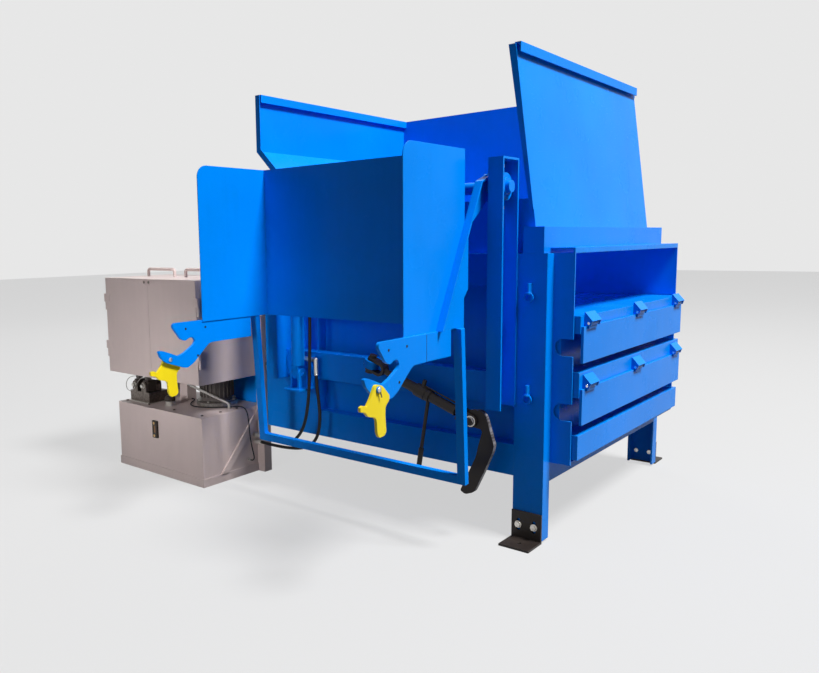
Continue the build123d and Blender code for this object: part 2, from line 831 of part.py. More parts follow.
def make_lift():
    shaft = rod_x(shaft_radius, shaft_end - 2 * lift_centre, -shaft_end, shaft_y, shaft_height)
    crank_x = -lift_centre - cylinder_set + eye_width / 2 + crank_gap
    tip_y = shaft_y - crank_radius * cos(radians(crank_swing))
    tip_z = shaft_height - crank_radius * sin(radians(crank_swing))
    across = Vector(tip_z - shaft_height, shaft_y - tip_y).normalized()
    web = [(shaft_y + across.X * crank_boss, shaft_height + across.Y * crank_boss),
           (tip_y + across.X * crank_tip, tip_z + across.Y * crank_tip),
           (tip_y - across.X * crank_tip, tip_z - across.Y * crank_tip),
           (shaft_y - across.X * crank_boss, shaft_height - across.Y * crank_boss)]
    crank = slab_x(web, crank_x, crank_x + crank_plate)
    crank += rod_x(crank_boss, crank_x, crank_x + crank_plate, shaft_y, shaft_height)
    crank += rod_x(crank_tip, crank_x, crank_x + crank_plate, tip_y, tip_z)
    crank += rod_x(eye_hole, crank_x, crank_x + crank_plate + ear, tip_y, tip_z)
    nodes["lift_shaft"] = shaft + crank

    out = carriage_right
    edge = [(shaft_y, shaft_height + arm_boss), (-arm_head, arm_head_top), (-arm_front, arm_bottom)]
    outline = edge + [(-arm_foot, arm_bottom),
                      (-arm_foot, arm_foot_low), (-arm_back, arm_back_low), (-arm_back, arm_back_top),
                      (shaft_y + arm_boss, shaft_height)]
    arm = slab_x(outline, out, out + arm_plate)
    arm += rod_x(arm_boss, out, out + arm_plate, shaft_y, shaft_height)
    arm += slab_x(ribbon(edge, arm_flange_sheet), out, out + arm_flange)
    arm -= rod_x(shaft_radius + run_gap, out - overrun, out + arm_flange + overrun, shaft_y, shaft_height)
    arm -= block(out - overrun, out + arm_flange + overrun, -carriage_reach, 0, 0, arm_bottom)
    nodes["lift_arms"] = group([arm, other_end(arm)])

    back = block(-2 * lift_centre - out, out, -carriage_back - carriage_sheet, -carriage_back,
                 carriage_bottom, carriage_top)
    wing = block(out - carriage_sheet, out, -carriage_reach, -carriage_back, carriage_bottom, carriage_top)
    edges = wing.edges().filter_by(Axis.X).sort_by_distance((out, -carriage_reach, carriage_top))
    wing = fillet(edges[0], carriage_corner)
    nodes["bin_carriage"] = back + wing + other_end(wing)

    hook = soft_slab_x([(-hook_back - a * hook_reach, hook_bottom + b * hook_height) for a, b in hook_shares],
                       out, out + hook_plate)
    hook -= block(out - overrun, out + hook_plate + overrun, -hook_seam, 0, 0, body_top)
    hook += block(out, out + hook_plate - seam_step, -hook_seam, -hook_arm_end,
                  hook_bottom + hook_shares[-1][1] * hook_height, hook_bottom + hook_height)
    head_x = out + hook_plate + latch_plate + slide_gap * 2
    hook += rod_x(latch_pin_radius, out, head_x, -latch_pin_out, latch_pin_height)
    hook += rod_x(latch_head_radius, head_x, head_x + latch_head_height, -latch_pin_out, latch_pin_height)
    nodes["right_hook"] = hook
    nodes["left_hook"] = other_end(hook)

    start = out + hook_plate + slide_gap
    back_y = latch_reach - latch_front
    latch = soft_slab_x([(back_y - a * latch_reach, latch_bottom + b * latch_height) for a, b in latch_shares],
                        start, start + latch_plate)
    latch -= rod_x(latch_pin_radius + run_gap, start - overrun, start + latch_plate + overrun, -latch_pin_out,
                   latch_pin_height)
    nodes["right_latch"] = latch
    nodes["left_latch"] = other_end(latch)

    tilt = Pos(0, -guard_front, arm_bottom - guard_drop) * Rot(guard_lean, 0, 0)
    length = arm_bottom - guard_drop - guard_bottom
    upright = block(out, out + guard_width, 0, guard_depth, -length, 0)
    upright -= block(out + guard_wall, out + guard_width - guard_wall, guard_wall, guard_depth - guard_wall,
                     -length - overrun, -guard_wall)
    rail = block(-2 * lift_centre - out, out, 0, guard_depth, -length, guard_width - length)
    rail -= block(-2 * lift_centre - out - overrun, out + overrun, guard_wall, guard_depth - guard_wall,
                  guard_wall - length, guard_width - guard_wall - length)
    upright = tilt * upright
    nodes["guard_uprights"] = group([upright, other_end(upright)])
    nodes["guard_rail"] = tilt * rail


# Lift cylinder beside the left post
cylinder_x = -lift_centre - cylinder_set
cylinder_y = shaft_y - crank_radius * cos(radians(crank_swing))
crank_low = shaft_height - crank_radius * sin(radians(crank_swing))


def make_cylinder():
    x = cylinder_x
    bracket = block(x - bracket_half, x + bracket_half, -cross_beam_depth - bracket_plate, -cross_beam_depth,
                    bracket_bottom, bracket_top)
    bracket += block(x - bracket_half, x + bracket_half, cylinder_y - bracket_half, -cross_beam_depth,
                     bracket_bottom, bracket_bottom + bracket_plate)
    inner = eye_width / 2 + slide_gap
    for start in (x - inner - ear, x + inner):
        bracket += block(start, start + ear, cylinder_y - ear_half, cylinder_y + ear_half, bracket_bottom,
                         foot_pin_height)
        bracket += rod_x(ear_half, start, start + ear, cylinder_y, foot_pin_height)
    bracket += rod_x(foot_pin_radius, x - inner - ear * 2, x + inner + ear * 2, cylinder_y, foot_pin_height)
    nodes["cylinder_bracket"] = bracket

    half = eye_width / 2
    barrel_top = barrel_bottom + barrel_length
    barrel = rod_z(barrel_radius, barrel_bottom, barrel_top, x, cylinder_y)
    barrel += block(x - half, x + half, cylinder_y - eye_radius, cylinder_y + eye_radius, foot_pin_height,
                    barrel_bottom)
    barrel += rod_x(eye_radius, x - half, x + half, cylinder_y, foot_pin_height)
    barrel -= rod_x(foot_pin_radius + run_gap, x - half - overrun, x + half + overrun, cylinder_y,
                    foot_pin_height)
    barrel -= rod_z(bore_radius, barrel_bottom + eye_radius, barrel_top - eye_radius, x, cylinder_y)
    barrel -= rod_z(rod_radius + run_gap, barrel_top - eye_radius - overrun, barrel_top + overrun, x,
                    cylinder_y)
    nodes["lift_cylinder_barrel"] = barrel

    rod = rod_z(rod_radius, barrel_bottom + eye_radius * 2, crank_low, x, cylinder_y)
    rod += rod_x(eye_radius, x - half, x + half, cylinder_y, crank_low)
    rod -= rod_x(eye_hole + run_gap, x - half - overrun, x + half + overrun, cylinder_y, crank_low)
    nodes["lift_rod"] = rod

    fittings = []
    ports = ((hose_one_out, port_high, cylinder_y), (hose_two_out, port_low, cylinder_y + port_back))
    for out, height, y in ports:
        elbow = rod_x(port_radius, x, x + out, y, height)
        elbow += Pos(x + out, y, height) * Sphere(port_radius)
        elbow += rod_z(port_radius, height - port_leg, height, x + out, y)
        fittings.append(elbow - rod_z(barrel_radius, barrel_bottom, barrel_top, x, cylinder_y))
    for height in bulkhead_heights:
        fittings.append(rod_x(bulkhead_radius, -pack_right, bulkhead_length - pack_right, -bulkhead_y, height))
    fittings.append(rod_x(cable_radius * 2, -pack_right, bulkhead_length - pack_right, -cable_gland_y,
                          cable_gland_height))
    nodes["hose_fittings"] = group(fittings)


# Turnbuckle, along X from its hinge pin
def buckle_place():
    return Pos(-buckle_x, -buckle_out, buckle_height) * Rot(0, buckle_tilt, 0)


def make_turnbuckle():
    place = buckle_place()
    to_beam = buckle_out - cross_beam_depth
    lug = rod_z(lug_radius, -lug_half, lug_half, 0, 0)
    lug += block(-lug_radius, lug_radius, 0, to_beam, -lug_half, lug_half)
    lug -= rod_z(buckle_pin_radius + run_gap, -lug_half - overrun, lug_half + overrun, 0, 0)
    nodes["turnbuckle_lug"] = place * lug

    inner = lug_half + fork_gap
    outer = inner + fork_plate
    bend = fork_reach - outer
    fork = block(0, bend, -fork_half, fork_half, -outer, outer)
    fork += rod_y(outer, -fork_half, fork_half, bend, 0) + rod_z(fork_half, -outer, outer, 0, 0)
    fork -= block(-fork_half - overrun, bend, -fork_half - overrun, fork_half + overrun, -inner, inner)
    fork -= rod_y(inner, -fork_half - overrun, fork_half + overrun, bend, 0)
    fork += rod_x(neck_radius, bend + inner + fork_plate / 2, neck_end, 0, 0)
    fork += rod_z(buckle_pin_radius, -outer - buckle_head_height, outer + buckle_head_height, 0, 0)
    for base in (outer, -outer - buckle_head_height):
        fork += Pos(0, 0, base) * hexagon(buckle_head, buckle_head_height)
    nodes["turnbuckle_fork"] = place * fork

    sleeve = rod_x(sleeve_radius, sleeve_start, sleeve_end, 0, 0)
    sleeve += rod_x(ratchet_radius, ratchet_start, ratchet_start + ratchet_length, 0, 0)
    knob_x = ratchet_start + ratchet_length / 2
    sleeve += rod_z(knob_radius, ratchet_radius / 2, ratchet_radius + knob_height, knob_x, 0)
    sleeve += rod_x(tie_radius, knob_x, sleeve_end - tie_post, 0, tie_out)
    sleeve += block(sleeve_end - tie_post * 2, sleeve_end, -tie_radius, tie_radius, sleeve_bore + tie_radius,
                    tie_out + tie_radius)
    sleeve -= rod_x(sleeve_bore, sleeve_start - overrun, sleeve_end + overrun, 0, 0)
    nodes["turnbuckle_barrel"] = place * sleeve

    ring_start = ratchet_start + ratchet_length + slide_gap
    ring_end = ring_start + ring_length
    handle = rod_x(ring_radius, ring_start, ring_end, 0, 0)
    stem = rod_z(handle_radius, -handle_length, -sleeve_bore, 0, 0)
    stem += rod_z(handle_grip, -handle_length, handle_grip_length - handle_length, 0, 0)
    handle += Pos((ring_start + ring_end) / 2, 0, 0) * Rot(0, handle_lean - buckle_tilt, 0) * stem
    handle -= rod_x(sleeve_radius + slide_gap, ring_start - ring_length, ring_end + ring_length, 0, 0)
    nodes["ratchet_handle"] = place * handle

    inner = claw_plate / 2 + claw_gap
    outer = inner + link_plate
    yoke = eye_at - link_length
    screw = block(yoke - link_yoke, eye_at, -outer, outer, -link_half, link_half)
    screw += rod_y(link_half, -outer, outer, eye_at, 0)
    screw -= block(yoke, eye_at + link_half + overrun, -inner, inner, -link_half - overrun, link_half + overrun)
    screw -= rod_y(buckle_pin_radius + run_gap, -outer - overrun, outer + overrun, eye_at, 0)
    screw += rod_x(screw_radius, screw_start, yoke - link_yoke, 0, 0)
    nodes["turnbuckle_screw"] = place * screw

    tilt = radians(buckle_tilt)
    pivot_x = eye_at * cos(tilt) - buckle_x
    pivot_z = buckle_height - eye_at * sin(tilt)
    claw_x = pivot_x - claw_left
    claw_z = pivot_z + claw_top
    outline = [(claw_x + a * claw_width, claw_z - b * claw_drop) for a, b in claw_shares]
    claw = soft_slab_y(outline, -buckle_out - claw_plate / 2, claw_plate / 2 - buckle_out)
    near = -buckle_out - outer - slide_gap
    end = outer + slide_gap - buckle_out
    claw += rod_y(buckle_pin_radius, near, end, pivot_x, pivot_z)
    head = Rot(90, 0, 0) * hexagon(buckle_head, buckle_head_height)
    claw += Pos(pivot_x, near, pivot_z) * head + Pos(pivot_x, end + buckle_head_height, pivot_z) * head
    nodes["turnbuckle_claw"] = claw


# Power pack beside the ram's housing
def make_pack():
    left = -pack_left
    right = -pack_right
    tank = block(left, right, -pack_front, pack_back, plinth_height, tank_top)
    tank -= block(left + tank_sheet, right - tank_sheet, tank_sheet - pack_front, pack_back - tank_sheet,
                  plinth_height + tank_sheet, tank_top - tank_sheet)
    post_y = pack_back - post_size
    posts = [block(right, right + post_size, post_y, pack_back, 0, stand_top),
             block(left - post_size, left, post_y, pack_back, 0, cabinet_bottom)]
    plinth = block(left - plinth_out, right + plinth_out, -pack_front - plinth_out, pack_back, 0, plinth_height)
    plinth -= block(left + plinth_wall, right - plinth_wall, plinth_wall - pack_front, pack_back - plinth_wall,
                    -overrun, plinth_height)
    plinth -= posts
    tank += plinth
    tank -= rod_z(filler_hole, tank_top - tank_sheet * 2, tank_top + overrun, -filler_x, -filler_y)
    nodes["oil_tank"] = tank
    cap = rod_z(filler_neck_radius, tank_top, tank_top + filler_neck, -filler_x, -filler_y)
    cap += rod_z(filler_radius, tank_top + filler_neck, tank_top + filler_height, -filler_x, -filler_y)
    nodes["filler_cap"] = cap
    nodes["level_gauge"] = block(-gauge_x - gauge_half, -gauge_x + gauge_half, -pack_front - gauge_depth,
                                 -pack_front, gauge_bottom, gauge_bottom + gauge_height)

    rise = cabinet_bottom - plinth_height
    half = brace_width / 2
    line = [(-brace_start_out - half, brace_start_rise), (post_y, brace_start_rise + rise * 2 / 3)]
    run = ribbon(line, -brace_width)
    brace = slab_x(run, right, right + brace_plate)
    brace -= block(right - overrun, right + post_size, post_y, pack_back + post_size, 0, cabinet_top)
    brace -= block(right - overrun, right + post_size, -pack_front * 2, pack_back, -pack_front, plinth_height)
    nodes["pack_stand"] = group(posts + [brace])

    c_left = -cabinet_left
    cabinet = block(c_left, right, -cabinet_front, pack_back, cabinet_bottom, cabinet_top)
    cabinet -= block(c_left + cabinet_sheet, right - cabinet_sheet, -cabinet_front - overrun,
                     pack_back - cabinet_sheet, cabinet_bottom + cabinet_sheet, cabinet_top - cabinet_sheet)
    cabinet += block(c_left, right, -cabinet_front - roof_out, -cabinet_front, cabinet_top - cabinet_sheet,
                     cabinet_top)
    door_front = -cabinet_front - door_depth - door_gap
    axis_y = door_front + door_depth / 2
    middle = (c_left + right) / 2
    low = cabinet_bottom + door_edge
    high = cabinet_top - door_top_gap
    for name, side, edge in (("left_door", -1, c_left), ("right_door", 1, right)):
        x0 = min(edge, middle + side * door_gap)
        x1 = max(edge, middle + side * door_gap)
        door = block(x0, x1, door_front, door_front + door_depth, low, high)
        door -= block(x0 + door_edge, x1 - door_edge, door_front + door_edge, door_front + door_depth + overrun,
                      low + door_edge, high - door_edge)
        axis_x = edge + side * hinge_set
        for bottom in hinge_bottoms:
            waist = bottom + hinge_height / 2
            top = bottom + hinge_height
            leaf = [min(axis_x, edge - side * hinge_leaf), max(axis_x, edge - side * hinge_leaf)]
            door += block(leaf[0], leaf[1], door_front - hinge_leaf_sheet, door_front, waist + slide_gap, top)
            door += rod_z(hinge_radius, waist + slide_gap, top, axis_x, axis_y)
            door += block(axis_x - hinge_radius, axis_x + hinge_radius, door_front - hinge_leaf_sheet, axis_y,
                          waist + slide_gap, top)
            door += rod_z(hinge_pin, bottom, top, axis_x, axis_y)
            knuckle = rod_z(hinge_radius, bottom, waist, axis_x, axis_y)
            flat = [min(edge, edge + side * hinge_leaf_sheet), max(edge, edge + side * hinge_leaf_sheet)]
            knuckle += block(flat[0], flat[1], axis_y, axis_y + hinge_leaf, bottom, waist)
            knuckle -= rod_z(hinge_pin + run_gap, bottom - overrun, waist + overrun, axis_x, axis_y)
            cabinet += knuckle
        for height in lock_heights:
            door += rod_y(lock_radius, door_front - lock_height, door_front, middle + side * lock_side, height)
        nodes[name] = door
    nodes["cabinet_box"] = cabinet

    grips = []
    for x in grip_xs:
        top = cabinet_top + grip_height
        line = [(-x - grip_half, -grip_out, cabinet_top), (-x - grip_half, -grip_out, top),
                (-x + grip_half, -grip_out, top), (-x + grip_half, -grip_out, cabinet_top)]
        grips.append(tube(line, grip_radius, grip_bend_share))
    nodes["cabinet_grips"] = group(grips)

    motor = rod_z(motor_flange_radius, tank_top, tank_top + motor_flange, -motor_x, -motor_y)
    motor += rod_z(motor_radius, tank_top, motor_top, -motor_x, -motor_y)
    fin = block(0, motor_fin_radius, -motor_fin / 2, motor_fin / 2, tank_top + motor_flange * 2,
                motor_top - motor_flange)
    for i in range(motor_fin_count):
        motor += Pos(-motor_x, -motor_y, 0) * Rot(0, 0, i * 360 / motor_fin_count) * fin
    nodes["pump_motor"] = motor
    valve = block(-valve_left, -valve_right, -valve_near, -valve_far, tank_top, tank_top + valve_height)
    for share in coil_shares:
        x = -valve_left + share * (valve_left - valve_right)
        coil_z = tank_top + valve_height + coil_rise
        valve += rod_y(coil_radius, -valve_near, coil_length - valve_near, x, coil_z)
        valve += block(x - coil_radius, x + coil_radius, -valve_near, coil_length - valve_near,
                       tank_top + valve_height, coil_z)
    nodes["valve_block"] = valve
    nodes["junction_box"] = block(-box_left, -box_right, -box_near, -box_far, tank_top, tank_top + box_height)


# Hoses from the lift cylinder to the tank and the loose cable on the tank
hose_one_start = (cylinder_x + hose_one_out, cylinder_y, port_high - port_leg)
hose_two_start = (cylinder_x + hose_two_out, cylinder_y + port_back, port_low - port_leg)
hose_one_end = (bulkhead_length - pack_right, -bulkhead_y, bulkhead_heights[0])
hose_two_end = (bulkhead_length - pack_right, -bulkhead_y, bulkhead_heights[1])
cable_start = (-box_right, -(box_near + box_far) / 2, tank_top + cable_radius * 2)
cable_end = (bulkhead_length - pack_right, -cable_gland_y, cable_gland_height)
# Shares of the way from each start to its end, along X, Y and Z
hose_one_shares = ((0, 0, 0.13), (0.012, 0, 0.363), (0.029, 0, 0.618), (0.104, 0, 0.841), (0.282, 0, 0.96),
                   (0.525, 0.423, 0.99), (0.775, 0.85, 1.004), (0.9, 1, 1))
hose_two_shares = ((0, 0, 0.15), (-0.05, 0, 0.5), (-0.005, 0, 0.771), (0.172, 0, 0.901), (0.433, 0.2, 0.95),
                   (0.746, 0.7, 0.985), (0.9, 1, 1))
cable_shares = ((0.09, 0, 0), (0.2, -2.4, 0.008), (0.4, -3.6, 0.008), (0.61, -2.4, 0.006),
                (0.8, -0.8, -0.004), (0.95, 0.2, -0.03), (1.0, 0.55, 0.05), (1.016, 0.7, 0.281),
                (1.02, 0.8, 0.551), (1.03, 0.9, 0.82), (1.06, 1, 0.96), (1.03, 1, 1))


def route(start, end, shares):
    between = [tuple(a + share * (b - a) for a, b, share in zip(start, end, point)) for point in shares]
    return [start] + between + [end]


hose_one = route(hose_one_start, hose_one_end, hose_one_shares)
hose_two = route(hose_two_start, hose_two_end, hose_two_shares)
cable = route(cable_start, cable_end, cable_shares)


def make_hoses():
    nodes["lift_hose_high"] = tube(hose_one, hose_radius, hose_share)
    nodes["lift_hose_low"] = tube(hose_two, hose_radius, hose_share)
    nodes["tank_cable"] = tube(cable, cable_radius, hose_share)


make_body()
make_hopper()
make_ram()
nodes["zinc_bolts"] = group(make_feet() + make_posts())
make_lift()
make_cylinder()
make_turnbuckle()
make_pack()
make_hoses()

# The origin goes to the floor at the centre of the footprint, which the hoses and the cable don't widen
boxes = [shape.bounding_box() for shape in nodes.values()]
centre_x = (min(box.min.X for box in boxes) + max(box.max.X for box in boxes)) / 2
centre_y = (min(box.min.Y for box in boxes) + max(box.max.Y for box in boxes)) / 2
os.makedirs("parts", exist_ok=True)
for name, shape in nodes.items():
    export_step(Pos(-centre_x, -centre_y, 0) * shape, "parts/" + name + ".step")
print(len(nodes), "pieces, origin", centre_x, centre_y)
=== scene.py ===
import json
import math

import bpy
from mathutils import Matrix, Vector


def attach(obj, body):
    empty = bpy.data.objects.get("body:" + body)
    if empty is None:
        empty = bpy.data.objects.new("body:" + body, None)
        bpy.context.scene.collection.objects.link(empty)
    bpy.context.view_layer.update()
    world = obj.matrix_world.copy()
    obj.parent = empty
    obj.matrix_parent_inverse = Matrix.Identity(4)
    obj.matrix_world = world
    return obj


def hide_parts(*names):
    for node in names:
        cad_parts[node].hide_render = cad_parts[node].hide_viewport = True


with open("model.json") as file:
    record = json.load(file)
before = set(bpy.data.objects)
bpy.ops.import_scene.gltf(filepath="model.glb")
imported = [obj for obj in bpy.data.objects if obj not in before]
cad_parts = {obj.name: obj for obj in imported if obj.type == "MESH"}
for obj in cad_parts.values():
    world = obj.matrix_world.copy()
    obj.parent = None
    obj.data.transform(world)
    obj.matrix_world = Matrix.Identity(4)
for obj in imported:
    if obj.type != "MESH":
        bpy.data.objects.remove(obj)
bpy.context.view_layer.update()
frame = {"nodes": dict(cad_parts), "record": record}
nodes = frame["nodes"]
nodeSlots = {part["node"]: part["material_slot"] for part in frame["record"]["subparts"]}
print("frame loaded with", len(nodes), "nodes")


# Camera at the photograph's place, its picture 819 by 673
cameraView = {
    "place": (2.779, -3.5316, 1.419),
    "azimuth": 41.15,
    "pitch": 7.44,
    "roll": 0.964,
    "focalPixels": 749.5,
    "middle": (325.8, 339.9),
    "picture": (819, 673),
    "sensor": 36.0,
    "reach": 200,
}


def addCamera(view):
    azimuth = math.radians(view["azimuth"])
    pitch = math.radians(view["pitch"])
    roll = math.radians(view["roll"])
    forward = Vector((-math.sin(azimuth) * math.cos(pitch),
                      math.cos(azimuth) * math.cos(pitch),
                      -math.sin(pitch)))
    level = Vector((math.cos(azimuth), math.sin(azimuth), 0))
    down = forward.cross(level)
    right = level * math.cos(roll) + down * math.sin(roll)
    below = down * math.cos(roll) - level * math.sin(roll)
    width, height = view["picture"]
    bpy.ops.object.camera_add()
    camera = bpy.context.object
    camera.name = "photoCamera"
    camera.data.sensor_fit = "HORIZONTAL"
    camera.data.sensor_width = view["sensor"]
    camera.data.lens = view["sensor"] * view["focalPixels"] / width
    camera.data.shift_x = (width / 2 - view["middle"][0]) / width
    camera.data.shift_y = (view["middle"][1] - height / 2) / width
    camera.data.clip_end = view["reach"]
    turn = Matrix((right, -below, -forward)).transposed().to_4x4()
    camera.matrix_world = Matrix.Translation(view["place"]) @ turn
    bpy.context.scene.camera = camera


addCamera(cameraView)
print("camera placed")


# Shader helpers
def addNode(tree, kind, **settings):
    node = tree.nodes.new(kind)
    for name, value in settings.items():
        setattr(node, name, value)
    return node


def findNode(tree, kind):
    return next(node for node in tree.nodes if node.type == kind)


# A number or a colour is set on the socket, another node's output is linked to it
def feed(tree, socket, value):
    if isinstance(value, (int, float)):
        socket.default_value = value
    elif isinstance(value, tuple):
        socket.default_value = value + (1,)
    else:
        tree.links.new(value, socket)


def newGroup(name, colours, numbers):
    group = bpy.data.node_groups.new(name, "ShaderNodeTree")
    inputs = [(label, "NodeSocketColor") for label in colours]
    inputs += [(label, "NodeSocketFloat") for label in numbers]
    outputs = [("Color", "NodeSocketColor"), ("Roughness", "NodeSocketFloat"), ("Normal", "NodeSocketVector")]
    for side, sockets in (("INPUT", inputs), ("OUTPUT", outputs)):
        for label, kind in sockets:
            group.interface.new_socket(label, in_out=side, socket_type=kind)
    return group, addNode(group, "NodeGroupInput"), addNode(group, "NodeGroupOutput")


def mathNode(tree, operation, first, second=None, clamp=False):
    node = addNode(tree, "ShaderNodeMath", operation=operation, use_clamp=clamp)
    feed(tree, node.inputs[0], first)
    if second is not None:
        feed(tree, node.inputs[1], second)
    return node.outputs[0]


def noiseNode(tree, coordinates, scale, detail, rough=0.5, stretch=None):
    noise = addNode(tree, "ShaderNodeTexNoise")
    for label, value in (("Scale", scale), ("Detail", detail), ("Roughness", rough)):
        noise.inputs[label].default_value = value
    if stretch:
        mapping = addNode(tree, "ShaderNodeMapping")
        mapping.inputs["Scale"].default_value = stretch
        tree.links.new(coordinates, mapping.inputs["Vector"])
        coordinates = mapping.outputs[0]
    tree.links.new(coordinates, noise.inputs["Vector"])
    return noise.outputs["Fac"]


def rangeNode(tree, value, low, high, outLow, outHigh):
    node = addNode(tree, "ShaderNodeMapRange", clamp=True)
    for label, number in (("Value", value), ("From Min", low), ("From Max", high),
                          ("To Min", outLow), ("To Max", outHigh)):
        feed(tree, node.inputs[label], number)
    return node.outputs[0]


def mixColours(tree, factor, first, second):
    node = addNode(tree, "ShaderNodeMix", data_type="RGBA", blend_type="MIX", clamp_factor=True)
    tree.links.new(factor, node.inputs["Factor"])
    feed(tree, node.inputs[6], first)
    feed(tree, node.inputs[7], second)
    return node.outputs[2]


def bumpNode(tree, height, distance, normal, strength=1.0):
    node = addNode(tree, "ShaderNodeBump")
    node.inputs["Distance"].default_value = distance
    feed(tree, node.inputs["Strength"], strength)
    tree.links.new(height, node.inputs["Height"])
    tree.links.new(normal, node.inputs["Normal"])
    return node.outputs[0]


def softNormal(tree, radius):
    node = addNode(tree, "ShaderNodeBevel", samples=4)
    node.inputs["Radius"].default_value = radius
    return node.outputs[0]


def splitAxis(tree, vector, axis):
    node = addNode(tree, "ShaderNodeSeparateXYZ")
    tree.links.new(vector, node.inputs[0])
    return node.outputs[axis]


# Sprayed paint on sheet steel: cloudy tone, orange peel, softly waving sheet, paler thin paint on edges that is
# partly wear and partly a painted highlight along the edges, dust low down
# Each range is a pattern's low and high, then the low and high that they become
paintDetail = {
    "cloud": {"scale": 1.7, "detail": 4}, "cloudRange": (0.3, 0.7, 0.9, 1.06),
    "streak": {"scale": 3.0, "detail": 3, "stretch": (9, 9, 0.8)}, "streakRange": (0.35, 0.75, -0.014, 0.014),
    "edgeRadius": 0.0025, "edgeRange": (0.75, 0.99, 1.0, 0.0),
    "patch": {"scale": 38, "detail": 4}, "patchRange": (0.42, 0.68, 0.15, 1.0),
    "lowRange": (0.02, 0.5, 0.55, 0.0), "lyingRange": (0.5, 1.0, 0.0, 0.16),
    "dust": {"scale": 6.5, "detail": 6, "rough": 0.65}, "dustRange": (0.4, 0.75, 0.1, 1.0), "dustDulls": 0.5,
    "gloss": {"scale": 5, "detail": 5}, "glossRange": (0.3, 0.7),
    "scuff": {"scale": 24, "detail": 3, "stretch": (1, 1, 14)}, "scuffRange": (0.66, 0.72, 0.0, 0.1),
    "peel": {"scale": 260, "detail": 2}, "peelHeight": 0.0006,
    "wave": {"scale": 3.2, "detail": 1}, "waveHeight": 0.012,
}


def makePaintGroup(detail):
    group, given, out = newGroup("sprayedPaint", ("Paint", "Thin Paint And Edge Highlight", "Dust Tint"),
                                 ("Gloss Low", "Gloss High", "Peel", "Sheet Wave", "Edge Wear And Highlight", "Dust"))
    place = addNode(group, "ShaderNodeTexCoord").outputs["Object"]
    flat = addNode(group, "ShaderNodeNewGeometry").outputs["Normal"]
    soft = softNormal(group, detail["edgeRadius"])

    def pattern(name):
        return noiseNode(group, place, **detail[name])

    tone = mathNode(group, "ADD", rangeNode(group, pattern("cloud"), *detail["cloudRange"]),
                    rangeNode(group, pattern("streak"), *detail["streakRange"]))
    toned = addNode(group, "ShaderNodeVectorMath", operation="SCALE")
    group.links.new(given.outputs["Paint"], toned.inputs[0])
    group.links.new(tone, toned.inputs["Scale"])

    agree = addNode(group, "ShaderNodeVectorMath", operation="DOT_PRODUCT")
    group.links.new(soft, agree.inputs[0])
    group.links.new(flat, agree.inputs[1])
    edge = rangeNode(group, agree.outputs["Value"], *detail["edgeRange"])
    patchy = rangeNode(group, pattern("patch"), *detail["patchRange"])
    # Edges take the paler edge colour in patches: partly worn thin paint, partly a painted highlight standing in
    # for light catching the plate edges
    wornAndHighlit = mathNode(group, "MULTIPLY", mathNode(group, "MULTIPLY", edge, patchy), given.outputs["Edge Wear And Highlight"])
    colour = mixColours(group, wornAndHighlit, toned.outputs[0], given.outputs["Thin Paint And Edge Highlight"])

    low = rangeNode(group, splitAxis(group, place, "Z"), *detail["lowRange"])
    lying = rangeNode(group, splitAxis(group, flat, "Z"), *detail["lyingRange"])
    cover = mathNode(group, "MULTIPLY", mathNode(group, "ADD", low, lying),
                     rangeNode(group, pattern("dust"), *detail["dustRange"]))
    dusty = mathNode(group, "MULTIPLY", cover, given.outputs["Dust"], clamp=True)
    colour = mixColours(group, dusty, colour, given.outputs["Dust Tint"])
    group.links.new(colour, out.inputs["Color"])

    gloss = rangeNode(group, pattern("gloss"), *detail["glossRange"],
                      given.outputs["Gloss Low"], given.outputs["Gloss High"])
    scuffs = rangeNode(group, pattern("scuff"), *detail["scuffRange"])
    dulled = mathNode(group, "MULTIPLY", dusty, detail["dustDulls"])
    rough = mathNode(group, "ADD", mathNode(group, "ADD", gloss, scuffs), dulled, clamp=True)
    group.links.new(rough, out.inputs["Roughness"])

    peel = bumpNode(group, pattern("peel"), detail["peelHeight"], soft, given.outputs["Peel"])
    wave = bumpNode(group, pattern("wave"), detail["waveHeight"], peel, given.outputs["Sheet Wave"])
    group.links.new(wave, out.inputs["Normal"])
    return group


# Bare or plated metal: fine grain, a mottled bloom and darker low spots
metalDetail = {
    "bloom": {"scale": 55, "detail": 5, "rough": 0.6},
    "soilRange": (0.4, 0.7, 0.0, 1.0), "glossRange": (0.3, 0.7),
    "grain": {"scale": 420, "detail": 2}, "grainHeight": 0.0008, "edgeRadius": 0.001,
}


def makeMetalGroup(detail):
    group, given, out = newGroup("workedMetal", ("Metal", "Dark"),
                                 ("Gloss Low", "Gloss High", "Grain", "Soil"))
    place = addNode(group, "ShaderNodeTexCoord").outputs["Object"]
    bloom = noiseNode(group, place, **detail["bloom"])
    grain = noiseNode(group, place, **detail["grain"])
    soil = mathNode(group, "MULTIPLY", rangeNode(group, bloom, *detail["soilRange"]), given.outputs["Soil"])
    colour = mixColours(group, soil, given.outputs["Metal"], given.outputs["Dark"])
    group.links.new(colour, out.inputs["Color"])
    gloss = rangeNode(group, bloom, *detail["glossRange"],
                      given.outputs["Gloss Low"], given.outputs["Gloss High"])
    group.links.new(gloss, out.inputs["Roughness"])
    soft = softNormal(group, detail["edgeRadius"])
    bump = bumpNode(group, grain, detail["grainHeight"], soft, given.outputs["Grain"])
    group.links.new(bump, out.inputs["Normal"])
    return group


paintGroup = makePaintGroup(paintDetail)
metalGroup = makeMetalGroup(metalDetail)


def makeMaterial(name, group, values, shader):
    material = bpy.data.materials.new(name)
    material.use_nodes = True
    tree = material.node_tree
    principled = findNode(tree, "BSDF_PRINCIPLED")
    surface = addNode(tree, "ShaderNodeGroup", node_tree=group)
    for label, value in values.items():
        feed(tree, surface.inputs[label], value)
    for label, target in (("Color", "Base Color"), ("Roughness", "Roughness"), ("Normal", "Normal")):
        tree.links.new(surface.outputs[label], principled.inputs[target])
    for label, value in shader.items():
        principled.inputs[label].default_value = value
    return material
